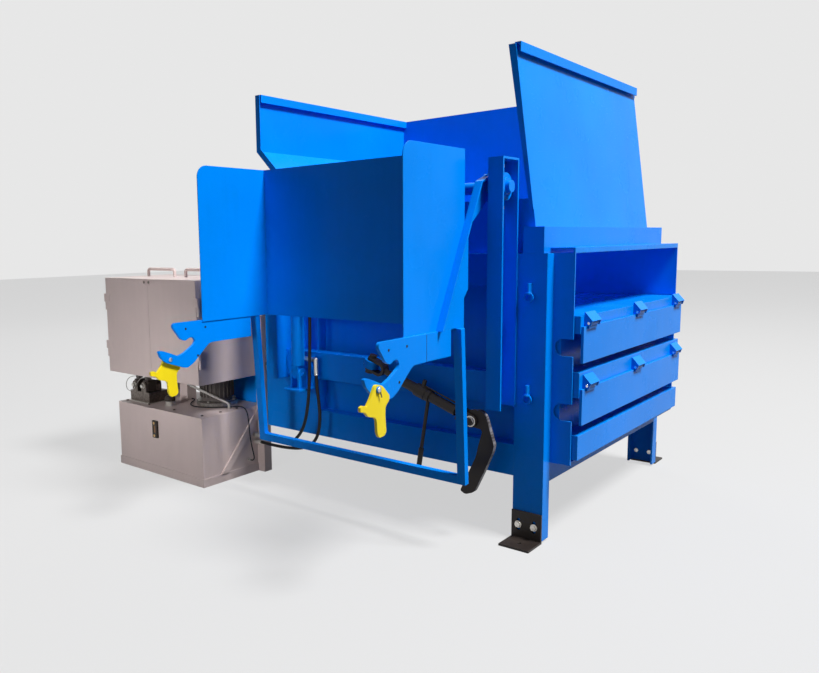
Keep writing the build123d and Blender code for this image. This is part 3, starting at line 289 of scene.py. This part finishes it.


# Each paint's paler edge colour is worn thin paint and also a painted highlight on the edges; on the blue it
# stands in for light along the plates' top edges
paintFinishes = {
    "blue_paint": {
        "Paint": (0.0, 0.24, 0.88), "Thin Paint And Edge Highlight": (0.08, 0.5, 0.95), "Dust Tint": (0.16, 0.27, 0.45),
        "Gloss Low": 0.2, "Gloss High": 0.3, "Peel": 0.18, "Sheet Wave": 0.2, "Edge Wear And Highlight": 0.5, "Dust": 0.22},
    "yellow_paint": {
        "Paint": (0.9, 0.7, 0.01), "Thin Paint And Edge Highlight": (0.92, 0.84, 0.25), "Dust Tint": (0.55, 0.36, 0.06),
        "Gloss Low": 0.25, "Gloss High": 0.4, "Peel": 0.3, "Sheet Wave": 0.05, "Edge Wear And Highlight": 0.5, "Dust": 0.2},
    "grey_paint": {
        "Paint": (0.6, 0.49, 0.47), "Thin Paint And Edge Highlight": (0.72, 0.66, 0.64), "Dust Tint": (0.36, 0.27, 0.22),
        "Gloss Low": 0.3, "Gloss High": 0.45, "Peel": 0.4, "Sheet Wave": 0.2, "Edge Wear And Highlight": 0.3, "Dust": 0.35},
    "dark_paint": {
        "Paint": (0.02, 0.015, 0.013), "Thin Paint And Edge Highlight": (0.1, 0.08, 0.07), "Dust Tint": (0.1, 0.075, 0.06),
        "Gloss Low": 0.34, "Gloss High": 0.52, "Peel": 0.45, "Sheet Wave": 0.1, "Edge Wear And Highlight": 0.6, "Dust": 0.3},
    "motor_paint": {
        "Paint": (0.1, 0.085, 0.08), "Thin Paint And Edge Highlight": (0.26, 0.23, 0.21), "Dust Tint": (0.2, 0.16, 0.13),
        "Gloss Low": 0.4, "Gloss High": 0.55, "Peel": 0.5, "Sheet Wave": 0.05, "Edge Wear And Highlight": 0.5, "Dust": 0.4},
    "black_plastic": {
        "Paint": (0.03, 0.022, 0.018), "Thin Paint And Edge Highlight": (0.07, 0.06, 0.055), "Dust Tint": (0.1, 0.09, 0.08),
        "Gloss Low": 0.35, "Gloss High": 0.5, "Peel": 0.5, "Sheet Wave": 0.05, "Edge Wear And Highlight": 0.3, "Dust": 0.3},
    "black_rubber": {
        "Paint": (0.01, 0.01, 0.011), "Thin Paint And Edge Highlight": (0.03, 0.03, 0.03), "Dust Tint": (0.05, 0.045, 0.04),
        "Gloss Low": 0.4, "Gloss High": 0.6, "Peel": 0.7, "Sheet Wave": 0.05, "Edge Wear And Highlight": 0.0, "Dust": 0.3},
    "sightWindow": {
        "Paint": (0.2, 0.085, 0.025), "Thin Paint And Edge Highlight": (0.4, 0.22, 0.08), "Dust Tint": (0.3, 0.2, 0.1),
        "Gloss Low": 0.06, "Gloss High": 0.12, "Peel": 0.05, "Sheet Wave": 0.1, "Edge Wear And Highlight": 0.5, "Dust": 0.1},
    "greyLead": {
        "Paint": (0.42, 0.4, 0.38), "Thin Paint And Edge Highlight": (0.5, 0.48, 0.46), "Dust Tint": (0.3, 0.26, 0.22),
        "Gloss Low": 0.35, "Gloss High": 0.5, "Peel": 0.3, "Sheet Wave": 0.05, "Edge Wear And Highlight": 0.0, "Dust": 0.3},
}
lacquered = {"Coat Weight": 0.06, "Coat Roughness": 0.1, "Specular IOR Level": 0.25}
uncoated = {**lacquered, "Coat Weight": 0.0}
paintShaders = {
    "blue_paint": {**uncoated, "Specular IOR Level": 0.06},
    "black_plastic": uncoated,
    "black_rubber": uncoated,
    "sightWindow": {"Coat Weight": 0.6, "Coat Roughness": 0.05},
    "greyLead": {"Specular IOR Level": 0.3},
}
metalFinishes = {
    "zinc_steel": {"Metal": (0.68, 0.66, 0.62), "Dark": (0.32, 0.29, 0.25),
                   "Gloss Low": 0.25, "Gloss High": 0.42, "Grain": 0.3, "Soil": 0.5},
    "chrome_steel": {"Metal": (0.75, 0.76, 0.78), "Dark": (0.5, 0.5, 0.5),
                     "Gloss Low": 0.06, "Gloss High": 0.14, "Grain": 0.05, "Soil": 0.2},
    "dark_steel": {"Metal": (0.2, 0.17, 0.15), "Dark": (0.06, 0.05, 0.045),
                   "Gloss Low": 0.3, "Gloss High": 0.5, "Grain": 0.4, "Soil": 0.7},
    "brassFitting": {"Metal": (0.78, 0.53, 0.22), "Dark": (0.3, 0.19, 0.08),
                     "Gloss Low": 0.22, "Gloss High": 0.4, "Grain": 0.2, "Soil": 0.5},
    "castFlange": {"Metal": (0.55, 0.52, 0.49), "Dark": (0.2, 0.18, 0.16),
                   "Gloss Low": 0.4, "Gloss High": 0.6, "Grain": 0.5, "Soil": 0.6},
}
materials = {}
for finishName, values in paintFinishes.items():
    shader = paintShaders.get(finishName, lacquered)
    materials[finishName] = makeMaterial(finishName, paintGroup, values, shader)
for finishName, values in metalFinishes.items():
    materials[finishName] = makeMaterial(finishName, metalGroup, values, {"Metallic": 1.0})

# Torch-cut plate: black paint on its faces, a pale ribbed cut round its rim
cutPlate = {
    "ribs": {"scale": 120.0, "detail": 3, "stretch": (1, 0.04, 1)}, "ribRange": (0.36, 0.6, 0.15, 0.75),
    "ribDepth": 0.0015, "rimRange": (0.2, 0.6, 1.0, 0.0), "tone": (0.3, 0.29, 0.3),
    "shader": {"Specular IOR Level": 0.25},
}


def makeCutPlate(values, cut):
    material = makeMaterial("cutPlate", paintGroup, values, cut["shader"])
    tree = material.node_tree
    principled = findNode(tree, "BSDF_PRINCIPLED")
    surface = findNode(tree, "GROUP")
    place = addNode(tree, "ShaderNodeTexCoord").outputs["Object"]
    flat = addNode(tree, "ShaderNodeNewGeometry").outputs["Normal"]
    rim = rangeNode(tree, mathNode(tree, "ABSOLUTE", splitAxis(tree, flat, "Y")), *cut["rimRange"])
    ribs = noiseNode(tree, place, **cut["ribs"])
    shown = mathNode(tree, "MULTIPLY", rim, rangeNode(tree, ribs, *cut["ribRange"]))
    colour = mixColours(tree, shown, surface.outputs["Color"], cut["tone"])
    tree.links.new(colour, principled.inputs["Base Color"])
    bump = bumpNode(tree, mathNode(tree, "MULTIPLY", ribs, rim), cut["ribDepth"], surface.outputs["Normal"])
    tree.links.new(bump, principled.inputs["Normal"])
    return material


materials["cutPlate"] = makeCutPlate(paintFinishes["dark_paint"], cutPlate)
for name, obj in nodes.items():
    obj.data.materials.clear()
    obj.data.materials.append(materials["cutPlate" if name == "turnbuckle_claw" else nodeSlots[name]])
print("finishes on", len(nodes), "nodes:", ", ".join(materials))


# Hoses and the loose cable, each a smooth line through the same points as its solid
def along(start, end, shares):
    between = [tuple(a + share * (b - a) for a, b, share in zip(start, end, point)) for point in shares]
    return [start] + between + [end]


cords = {
    "lift_hose_high": {
        "points": along((0.0150134, -0.5002606, 1.08), (-0.5449866, -0.3936416, 0.238),
                        ((0, 0, 0.13), (0.012, 0, 0.363), (0.029, 0, 0.618), (0.104, 0, 0.841),
                         (0.282, 0, 0.96), (0.525, 0.423, 0.99), (0.775, 0.85, 1.004), (0.9, 1, 1))),
        "radius": 0.009, "length": 1.265, "stiffness": "stiff", "lay": "hanging"},
    "lift_hose_low": {
        "points": along((0.0300134, -0.4732606, 0.721), (-0.5449866, -0.3936416, 0.196),
                        ((0, 0, 0.15), (-0.05, 0, 0.5), (-0.005, 0, 0.771), (0.172, 0, 0.901),
                         (0.433, 0.2, 0.95), (0.746, 0.7, 0.985), (0.9, 1, 1))),
        "radius": 0.009, "length": 1.01, "stiffness": "stiff", "lay": "hanging"},
    "tank_cable": {
        "points": along((-1.0419866, -0.4951416, 0.422), (-0.5449866, -0.4536416, 0.09),
                        ((0.09, 0, 0), (0.2, -2.4, 0.008), (0.4, -3.6, 0.008), (0.61, -2.4, 0.006),
                         (0.8, -0.8, -0.004), (0.95, 0.2, -0.03), (1.0, 0.55, 0.05), (1.016, 0.7, 0.281),
                         (1.02, 0.8, 0.551), (1.046, 0.88, 0.76), (1.0845, 1, 1.006))),
        "radius": 0.004, "length": 0.942, "stiffness": "medium", "lay": "loose"},
}
lineDetail = {"steps": 10, "roundness": 5}


def layLine(name, points, radius, finish, body):
    curve = bpy.data.curves.new(name, "CURVE")
    curve.dimensions = "3D"
    spline = curve.splines.new("NURBS")
    spline.points.add(len(points) - 1)
    for point, place in zip(spline.points, points):
        point.co = (*place, 1)
    spline.order_u = 3
    spline.use_endpoint_u = True
    spline.resolution_u = lineDetail["steps"]
    curve.bevel_depth = radius
    curve.bevel_resolution = lineDetail["roundness"]
    curve.use_fill_caps = True
    piece = bpy.data.objects.new(name, curve)
    bpy.context.scene.collection.objects.link(piece)
    curve.materials.append(materials[finish])
    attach(piece, body)
    return piece


def addCord(name, cord):
    piece = layLine(name + "_line", cord["points"], cord["radius"], "black_rubber", "body")
    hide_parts(name)


for name, cord in cords.items():
    addCord(name, cord)
print("cords laid:", ", ".join(cords))

# Shaping helpers: a primitive is shaped in edit mode, and its place ends up in its mesh
shaping = {"hexSides": 6, "edgeSegments": 2, "squareOn": 0.99, "smoothAngle": 32}


def chooseOnly(*pieces):
    bpy.ops.object.select_all(action="DESELECT")
    for piece in pieces:
        piece.select_set(True)
    if pieces:
        bpy.context.view_layer.objects.active = pieces[0]


def pickFaces(piece, test):
    bpy.ops.object.mode_set(mode="EDIT")
    bpy.ops.mesh.select_mode(type="FACE")
    bpy.ops.mesh.select_all(action="DESELECT")
    bpy.ops.object.mode_set(mode="OBJECT")
    for face in piece.data.polygons:
        face.select = test(face)
    bpy.ops.object.mode_set(mode="EDIT")


def extrudeBy(offset):
    bpy.ops.mesh.extrude_region_move(TRANSFORM_OT_translate={"value": offset, "orient_type": "GLOBAL"})


# Round or hexagonal part, turned from (height, radius) sections along its axis
def turnPart(name, sides, sections, place, axis=(0, 0, 1)):
    chooseOnly()
    bpy.ops.mesh.primitive_circle_add(vertices=sides, radius=sections[0][1], fill_type="NGON")
    piece = bpy.context.object
    bpy.ops.object.mode_set(mode="EDIT")
    bpy.ops.mesh.select_all(action="SELECT")
    bpy.ops.transform.translate(value=(0, 0, sections[0][0]))
    for (low, wide), (high, narrow) in zip(sections, sections[1:]):
        extrudeBy((0, 0, high - low))
        bpy.ops.transform.resize(value=(narrow / wide, narrow / wide, 1), center_override=(0, 0, high))
    bpy.ops.mesh.select_all(action="SELECT")
    bpy.ops.mesh.normals_make_consistent(inside=False)
    bpy.ops.object.mode_set(mode="OBJECT")
    piece.name = name
    piece.rotation_euler = Vector(axis).to_track_quat("Z", "Y").to_euler()
    piece.location = place
    bpy.ops.object.transform_apply(location=True, rotation=True, scale=True)
    return piece


def boxPart(name, low, high, rounding):
    chooseOnly()
    bpy.ops.mesh.primitive_cube_add(size=1, location=[(a + b) / 2 for a, b in zip(low, high)])
    piece = bpy.context.object
    piece.name = name
    piece.scale = [b - a for a, b in zip(low, high)]
    bpy.ops.object.transform_apply(location=True, rotation=True, scale=True)
    bpy.ops.object.mode_set(mode="EDIT")
    bpy.ops.mesh.select_all(action="SELECT")
    bpy.ops.mesh.bevel(offset=rounding, segments=shaping["edgeSegments"], affect="EDGES")
    bpy.ops.object.mode_set(mode="OBJECT")
    return piece


# Recess in a box's largest face that looks along facing
def sinkFace(piece, facing, rim, share, depth):
    way = Vector(facing)
    fronts = [face for face in piece.data.polygons if face.normal.dot(way) > shaping["squareOn"]]
    front = max(fronts, key=lambda face: face.area)
    chosen, middle = front.index, tuple(front.center)
    pickFaces(piece, lambda face: face.index == chosen)
    bpy.ops.mesh.inset(thickness=rim, depth=0)
    bpy.ops.transform.resize(value=share, center_override=middle)
    extrudeBy(tuple(-depth * part for part in facing))
    bpy.ops.object.mode_set(mode="OBJECT")


def copyPart(piece, shift):
    chooseOnly(piece)
    bpy.ops.object.duplicate(linked=False)
    twin = bpy.context.object
    twin.location = shift
    bpy.ops.object.transform_apply(location=True, rotation=True, scale=True)
    return twin


# The first place holds the part itself, the others its copies, all in one mesh
def repeatPart(piece, places):
    first = Vector(places[0])
    name = piece.name
    twins = [copyPart(piece, Vector(place) - first) for place in places[1:]]
    chooseOnly(piece, *twins)
    if twins:
        bpy.ops.object.join()
    piece.name = name
    return piece


def finishPart(piece, finish, slot, body, *stands):
    chooseOnly(piece)
    bpy.ops.object.shade_smooth_by_angle(angle=math.radians(shaping["smoothAngle"]))
    piece.data.materials.append(materials[finish])
    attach(piece, body)
    if stands:
        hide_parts(*stands)


# Oil level gauge: a sunk amber window between two brass screws
levelGauge = {
    "low": (-1.033, -0.8246, 0.232), "high": (-0.985, -0.8086, 0.341), "rounding": 0.004,
    "rim": 0.009, "windowShare": (1, 1, 0.6), "windowDepth": 0.005, "facing": (0, -1, 0),
    "glassLow": (-1.0195, -0.8216, 0.2625), "glassHigh": (-0.9985, -0.819, 0.3105), "glassRounding": 0.0012,
    "screw": [(-0.001, 0.0085), (0.003, 0.0085), (0.0045, 0.0068), (0.0045, 0.0042), (0.003, 0.0038)],
    "screwPlaces": [(-1.009, -0.8246, 0.247), (-1.009, -0.8246, 0.326)],
}


def addLevelGauge(gauge):
    facing, places = gauge["facing"], gauge["screwPlaces"]
    body = boxPart("gauge_body", gauge["low"], gauge["high"], gauge["rounding"])
    sinkFace(body, facing, gauge["rim"], gauge["windowShare"], gauge["windowDepth"])
    finishPart(body, "black_plastic", "black_plastic", "body", "level_gauge")
    glass = boxPart("gauge_window", gauge["glassLow"], gauge["glassHigh"], gauge["glassRounding"])
    finishPart(glass, "sightWindow", "black_plastic", "body")
    screws = turnPart("gauge_screws", shaping["hexSides"], gauge["screw"], places[0], facing)
    finishPart(repeatPart(screws, places), "brassFitting", "zinc_steel", "body")


addLevelGauge(levelGauge)
print("level gauge made")

# Filler: plated neck under a ribbed black cap
fillerCap = {
    "place": (-1.024, -0.6836, 0.414), "sides": 36,
    "neck": [(0, 0.0345), (0.004, 0.0345), (0.005, 0.031), (0.02, 0.031), (0.022, 0.0335), (0.027, 0.0335)],
    "lid": [(0.027, 0.026), (0.028, 0.0325), (0.05, 0.0325), (0.056, 0.0295), (0.06, 0.022), (0.062, 0.008)],
    "ribEdge": 0.0009, "ribHeight": 0.0014, "ribLean": 0.1,
}


def addFillerCap(cap):
    neck = turnPart("filler_neck", cap["sides"], cap["neck"], cap["place"])
    finishPart(neck, "zinc_steel", "zinc_steel", "body")
    lid = turnPart("filler_lid", cap["sides"], cap["lid"], cap["place"])
    centre = Vector(cap["place"])
    step = 2 * math.pi / cap["sides"]

    def isRib(face):
        around = math.atan2(face.center.y - centre.y, face.center.x - centre.x) / step
        return abs(face.normal.z) < cap["ribLean"] and int(math.floor(around)) % 2 == 0

    pickFaces(lid, isRib)
    bpy.ops.mesh.inset(use_individual=True, thickness=cap["ribEdge"], depth=cap["ribHeight"])
    bpy.ops.object.mode_set(mode="OBJECT")
    finishPart(lid, "black_plastic", "black_plastic", "body", "filler_cap")


addFillerCap(fillerCap)
print("filler made")

# Valve bank on the tank: foot plate, two coils with their plugs, brass hose tails and a lead
valveBank = {
    "plateLow": (-1.372, -0.757, 0.414), "plateHigh": (-1.146, -0.58, 0.4195), "plateRounding": 0.0015,
    "coilStep": (0.094, 0, 0), "recess": 0.002,
    "blocks": {
        "valve_coils": {"low": (-1.336, -0.729, 0.486), "high": (-1.282, -0.664, 0.557), "rounding": 0.005,
                        "rim": 0.008, "finish": "black_plastic"},
        "valve_plugs": {"low": (-1.324, -0.722, 0.557), "high": (-1.294, -0.69, 0.583), "rounding": 0.003,
                        "rim": 0.006, "finish": "motor_paint"},
    },
    "gland": [(0, 0.0085), (0.006, 0.0085), (0.0065, 0.007), (0.015, 0.007), (0.017, 0.0055), (0.018, 0.0035)],
    "glandPlace": (-1.324, -0.706, 0.57), "glandSides": 16,
    "nut": [(-0.002, 0.017), (0.004, 0.017), (0.005, 0.013), (0.016, 0.013), (0.019, 0.0105), (0.0195, 0.004)],
    "nutPlace": (-1.309, -0.7436, 0.524),
    "tail": [(-0.002, 0.0145), (0.011, 0.0145), (0.012, 0.0095), (0.021, 0.0095), (0.022, 0.0125),
             (0.032, 0.0125), (0.034, 0.007), (0.043, 0.0055)],
    "tailPlaces": [(-1.359, -0.705, 0.449), (-1.359, -0.645, 0.449)],
    "lead": [(-1.331, -0.706, 0.57), (-1.366, -0.706, 0.57), (-1.386, -0.738, 0.56), (-1.376, -0.768, 0.522),
             (-1.342, -0.778, 0.488), (-1.3, -0.778, 0.486), (-1.272, -0.77, 0.515), (-1.274, -0.742, 0.55),
             (-1.276, -0.706, 0.57), (-1.238, -0.706, 0.57)],
    "leadRadius": 0.0022, "leadLength": 0.352,
}


def addValveBank(bank):
    pair = [(0, 0, 0), bank["coilStep"]]
    plate = boxPart("valve_plate", bank["plateLow"], bank["plateHigh"], bank["plateRounding"])
    finishPart(plate, "zinc_steel", "zinc_steel", "body")
    for name, block in bank["blocks"].items():
        piece = boxPart(name, block["low"], block["high"], block["rounding"])
        sinkFace(piece, (0, 0, 1), block["rim"], (1, 1, 1), bank["recess"])
        finishPart(repeatPart(piece, pair), block["finish"], "black_plastic", "body")
    glands = turnPart("valve_glands", bank["glandSides"], bank["gland"], bank["glandPlace"], (-1, 0, 0))
    finishPart(repeatPart(glands, pair), "black_plastic", "black_plastic", "body")
    nuts = turnPart("coil_nuts", shaping["hexSides"], bank["nut"], bank["nutPlace"], (0, -1, 0))
    finishPart(repeatPart(nuts, pair), "zinc_steel", "zinc_steel", "body")
    tails = turnPart("hose_tails", shaping["hexSides"], bank["tail"], bank["tailPlaces"][0], (-1, 0, 0))
    finishPart(repeatPart(tails, bank["tailPlaces"]), "brassFitting", "zinc_steel", "body")
    layLine("valve_lead", bank["lead"], bank["leadRadius"], "greyLead", "body")


addValveBank(valveBank)
print("valve bank made")

# Motor foot: pale cast flange with its bolts, and the return pipe in front of the motor
motorFoot = {
    "place": (-0.829, -0.4636, 0.414), "flangeSides": 64,
    "flange": [(0, 0.129), (0.019, 0.129), (0.024, 0.125), (0.0285, 0.114), (0.0285, 0.1)],
    "bolt": [(-0.004, 0.0085), (0.006, 0.0085), (0.0075, 0.007)],
    "boltCircle": 0.1165, "bolts": 8, "boltHeight": 0.0285,
    "pipe": [(-0.645, -0.525, 0.412), (-0.645, -0.525, 0.438), (-0.655, -0.53, 0.448), (-0.7, -0.55, 0.468),
             (-0.86, -0.625, 0.54), (-0.892, -0.64, 0.556), (-0.9, -0.644, 0.575), (-0.9, -0.644, 0.609)],
    "pipeRadius": 0.0075,
    "pipeNut": [(0, 0.0145), (0.011, 0.0145), (0.013, 0.012), (0.02, 0.0105)],
    "nutEnds": {"pipe_nut_low": ((-0.645, -0.525, 0.414), (0, 0, 1)),
                "pipe_nut_high": ((-0.9, -0.644, 0.607), (0, 0, -1))},
}


def addMotorFoot(foot):
    flange = turnPart("motor_flange", foot["flangeSides"], foot["flange"], foot["place"])
    finishPart(flange, "castFlange", "zinc_steel", "body")
    middle = Vector(foot["place"]) + Vector((0, 0, foot["boltHeight"]))
    spots = []
    for index in range(foot["bolts"]):
        turn = 2 * math.pi * (index + 0.5) / foot["bolts"]
        spots.append(tuple(middle + foot["boltCircle"] * Vector((math.cos(turn), math.sin(turn), 0))))
    bolts = turnPart("flange_bolts", shaping["hexSides"], foot["bolt"], spots[0])
    finishPart(repeatPart(bolts, spots), "zinc_steel", "zinc_steel", "body")
    layLine("return_pipe", foot["pipe"], foot["pipeRadius"], "greyLead", "body")
    for name, (place, axis) in foot["nutEnds"].items():
        nut = turnPart(name, shaping["hexSides"], foot["pipeNut"], place, axis)
        finishPart(nut, "zinc_steel", "zinc_steel", "body")


addMotorFoot(motorFoot)
print("motor foot made")

# Small fasteners: lid screws, door studs, stand bolt, hook plugs, latch pin ends and cotter, claw washer
darkSteel = {"finish": "dark_steel", "slot": "dark_steel"}
zincSteel = {"finish": "zinc_steel", "slot": "zinc_steel"}
doorStud = {
    "sides": 20, "axis": (0, -1, 0), **darkSteel,
    "sections": [(-0.001, 0.0085), (0.002, 0.0085), (0.0032, 0.007), (0.0032, 0.005), (0.0016, 0.0045)],
}
hookPlug = {
    "sides": 14, "axis": (1, 0, 0), "finish": "black_rubber", "slot": "dark_steel", "body": "lift",
    "sections": [(-0.002, 0.0056), (0.001, 0.0056), (0.0014, 0.005), (0.0003, 0.0042)],
}
pinEnd = {"sides": 24, "axis": (1, 0, 0), "body": "lift", **zincSteel}
fasteners = {
    "lid_screws": {
        "sides": shaping["hexSides"], "axis": (0, 0, 1), "body": "body", **darkSteel,
        "sections": [(-0.001, 0.0085), (0.005, 0.0085), (0.0065, 0.007)],
        "places": [(-1.372, -0.7615, 0.414), (-1.141, -0.7615, 0.414), (-0.885, -0.7615, 0.414),
                   (-0.62, -0.7615, 0.414), (-0.608, -0.63, 0.414), (-0.608, -0.498, 0.414)]},
    "left_door_stud": {**doorStud, "body": "left_door", "places": [(-1.0395, -0.8271, 1.196)]},
    "right_door_studs": {
        **doorStud, "body": "right_door", "places": [(-0.9935, -0.8271, 1.196), (-0.9935, -0.8271, 0.6455)]},
    "stand_bolt": {
        "sides": shaping["hexSides"], "axis": (1, 0, 0), "body": "body", **darkSteel,
        "sections": [(-0.001, 0.0125), (0.002, 0.0125), (0.002, 0.0105), (0.008, 0.0105), (0.0095, 0.0085)],
        "places": [(-0.507, -0.3287, 0.6816)]},
    "right_hook_plugs": {
        **hookPlug,
        "places": [(1.072, -1.2093, 0.9992), (1.072, -1.0867, 1.0007), (1.072, -1.1397, 0.8626)]},
    "left_hook_plugs": {
        **hookPlug,
        "places": [(-0.189, -1.1952, 1.0013), (-0.189, -1.0695, 0.9991), (-0.189, -1.1243, 0.8588)]},
    "right_pin_end": {
        **pinEnd, "places": [(1.0896, -1.2956, 0.859)],
        "sections": [(-0.002, 0.0105), (0.0025, 0.0105), (0.0048, 0.009), (0.0062, 0.006), (0.0068, 0.002)]},
    "left_pin_end": {
        **pinEnd, "places": [(-0.189, -1.2956, 0.859)],
        "sections": [(-0.002, 0.0105), (0.0015, 0.0105), (0.004, 0.009), (0.0055, 0.006), (0.006, 0.002)]},
    "right_cotter": {
        "sides": 10, "axis": (0.05, 0.3, -1), "body": "lift", **darkSteel,
        "sections": [(-0.016, 0.0014), (-0.014, 0.0026), (0.024, 0.0026), (0.0265, 0.0014)],
        "places": [(1.0925, -1.292, 0.853)]},
    "claw_washer": {
        "sides": 32, "axis": (0, -1, 0), "body": "claw", **zincSteel,
        "sections": [(-0.001, 0.026), (0.0025, 0.026), (0.004, 0.0245), (0.004, 0.0205), (0.003, 0.02)],
        "places": [(1.0325, -0.5186, 0.5787)]},
}


def addFasteners(kinds):
    for name, kind in kinds.items():
        piece = turnPart(name, kind["sides"], kind["sections"], kind["places"][0], kind["axis"])
        finishPart(repeatPart(piece, kind["places"]), kind["finish"], kind["slot"], kind["body"])


addFasteners(fasteners)
print("fasteners placed:", ", ".join(fasteners))

# Painted shadow: a thin black strip stands in for the shadow line at the step where the right hook's plate butts
# its arm
hookStepShadow = {"low": (1.0715, -0.9449, 0.9165), "high": (1.0726, -0.9429, 1.034), "rounding": 0.0003}
stepShadowStrip = boxPart("hook_step_shadow", hookStepShadow["low"], hookStepShadow["high"], hookStepShadow["rounding"])
finishPart(stepShadowStrip, "black_rubber", "dark_steel", "lift")

# Weld beads in the guard's lower corners
weldBeads = {
    "radius": 0.0032,
    "run": [(-0.6722, 0.3625), (-0.6558, 0.3628), (-0.6405, 0.3632)],
    "sides": {"guard_weld_right": 1.0555, "guard_weld_left": -0.1875},
}
for name, side in weldBeads["sides"].items():
    points = [(side, *spot) for spot in weldBeads["run"]]
    layLine(name, points, weldBeads["radius"], "blue_paint", "lift")
print("seam and weld beads laid")

# Crimped sleeves where the hoses meet their fittings
ferrule = {
    "sides": 24,
    "sections": [(-0.001, 0.0125), (0.003, 0.0135), (0.011, 0.0135), (0.0125, 0.012), (0.0145, 0.012),
                 (0.016, 0.0135), (0.024, 0.0135), (0.026, 0.012), (0.028, 0.012), (0.03, 0.0135),
                 (0.035, 0.0128), (0.038, 0.0105)],
    "ends": {"ferrule_barrel": ((0.0150134, -0.5002606, 1.08), (0, 0, -1)),
             "ferrule_bracket": ((0.0300134, -0.4732606, 0.721), (0, 0, -1)),
             "ferrule_tank_high": ((-0.5449866, -0.3936416, 0.238), (1, 0, 0)),
             "ferrule_tank_low": ((-0.5449866, -0.3936416, 0.196), (1, 0, 0))},
}
for name, (place, axis) in ferrule["ends"].items():
    sleeve = turnPart(name, ferrule["sides"], ferrule["sections"], place, axis)
    finishPart(sleeve, "zinc_steel", "zinc_steel", "body")
print("hose sleeves placed:", len(ferrule["ends"]))


# Plain pale floor and soft studio light: a high key from the discharge end, weak fills in front and behind
studio = {
    "floorSize": 60.0,
    "floorTone": (0.14, 0.14, 0.14),
    "floorRoughness": 0.9,
    "floorShine": 0.1,
    "floorGlow": 0.6,
    "backTone": 0.8,
    "skyTone": (0.82, 0.88, 1.0),
    "skyStrength": 0.07,
    "lamps": {
        "sideKey": {"place": (8.2, 0.6, 13.4), "target": (0.0, 0.0, 0.9), "size": 4.0, "power": 3650,
                    "spread": 180, "mirrored": True},
        "nearFill": {"place": (1.0, -8.5, 3.2), "target": (0.0, 0.0, 0.9), "size": 5.0, "power": 24,
                     "spread": 180, "mirrored": False},
        "packFill": {"place": (0.6, -6.4, 2.0), "target": (-1.05, -0.75, 0.55), "size": 1.6, "power": 5,
                     "spread": 22, "mirrored": False},
        "backFill": {"place": (-6.5, 7.0, 4.5), "target": (0.0, 0.4, 0.9), "size": 5.0, "power": 190,
                     "spread": 180, "mirrored": False},
    },
}


# What the camera and the mirrored rays see of the floor and the backdrop, apart from the light that they give
def addSeenRays(tree):
    rays = addNode(tree, "ShaderNodeLightPath")
    mirrored = mathNode(tree, "MAXIMUM", rays.outputs["Is Glossy Ray"], rays.outputs["Is Transmission Ray"])
    return mathNode(tree, "MAXIMUM", rays.outputs["Is Camera Ray"], mirrored)


def addFloor(setup):
    bpy.ops.mesh.primitive_plane_add(size=setup["floorSize"])
    floor = bpy.context.object
    floor.name = "studioFloor"
    paper = bpy.data.materials.new("studioPaper")
    paper.use_nodes = True
    tree = paper.node_tree
    shader = findNode(tree, "BSDF_PRINCIPLED")
    shader.inputs["Base Color"].default_value = setup["floorTone"] + (1,)
    shader.inputs["Roughness"].default_value = setup["floorRoughness"]
    shader.inputs["Specular IOR Level"].default_value = setup["floorShine"]
    shader.inputs["Emission Color"].default_value = (1, 1, 1, 1)
    glow = mathNode(tree, "MULTIPLY", addSeenRays(tree), setup["floorGlow"])
    tree.links.new(glow, shader.inputs["Emission Strength"])
    floor.data.materials.append(paper)


def addLamp(name, lamp):
    bpy.ops.object.light_add(type="AREA", location=lamp["place"])
    light = bpy.context.object
    light.name = name
    light.data.shape = "DISK"
    light.data.size = lamp["size"]
    light.data.energy = lamp["power"]
    light.data.spread = math.radians(lamp["spread"])
    light.visible_glossy = lamp["mirrored"]
    aim = Vector(lamp["target"]) - Vector(lamp["place"])
    light.rotation_euler = aim.to_track_quat("-Z", "Y").to_euler()


def addBackdrop(setup):
    world = bpy.data.worlds.new("studioWorld")
    bpy.context.scene.world = world
    world.use_nodes = True
    tree = world.node_tree
    sky = findNode(tree, "BACKGROUND")
    sky.inputs["Color"].default_value = setup["skyTone"] + (1,)
    sky.inputs["Strength"].default_value = setup["skyStrength"]
    back = addNode(tree, "ShaderNodeBackground")
    back.inputs["Color"].default_value = (1, 1, 1, 1)
    back.inputs["Strength"].default_value = setup["backTone"]
    mix = addNode(tree, "ShaderNodeMixShader")
    tree.links.new(addSeenRays(tree), mix.inputs[0])
    tree.links.new(sky.outputs[0], mix.inputs[1])
    tree.links.new(back.outputs[0], mix.inputs[2])
    tree.links.new(mix.outputs[0], findNode(tree, "OUTPUT_WORLD").inputs["Surface"])


addFloor(studio)
for name, lamp in studio["lamps"].items():
    addLamp(name, lamp)
addBackdrop(studio)
bpy.context.scene.view_settings.view_transform = "Standard"
print("studio lit by", ", ".join(studio["lamps"]))
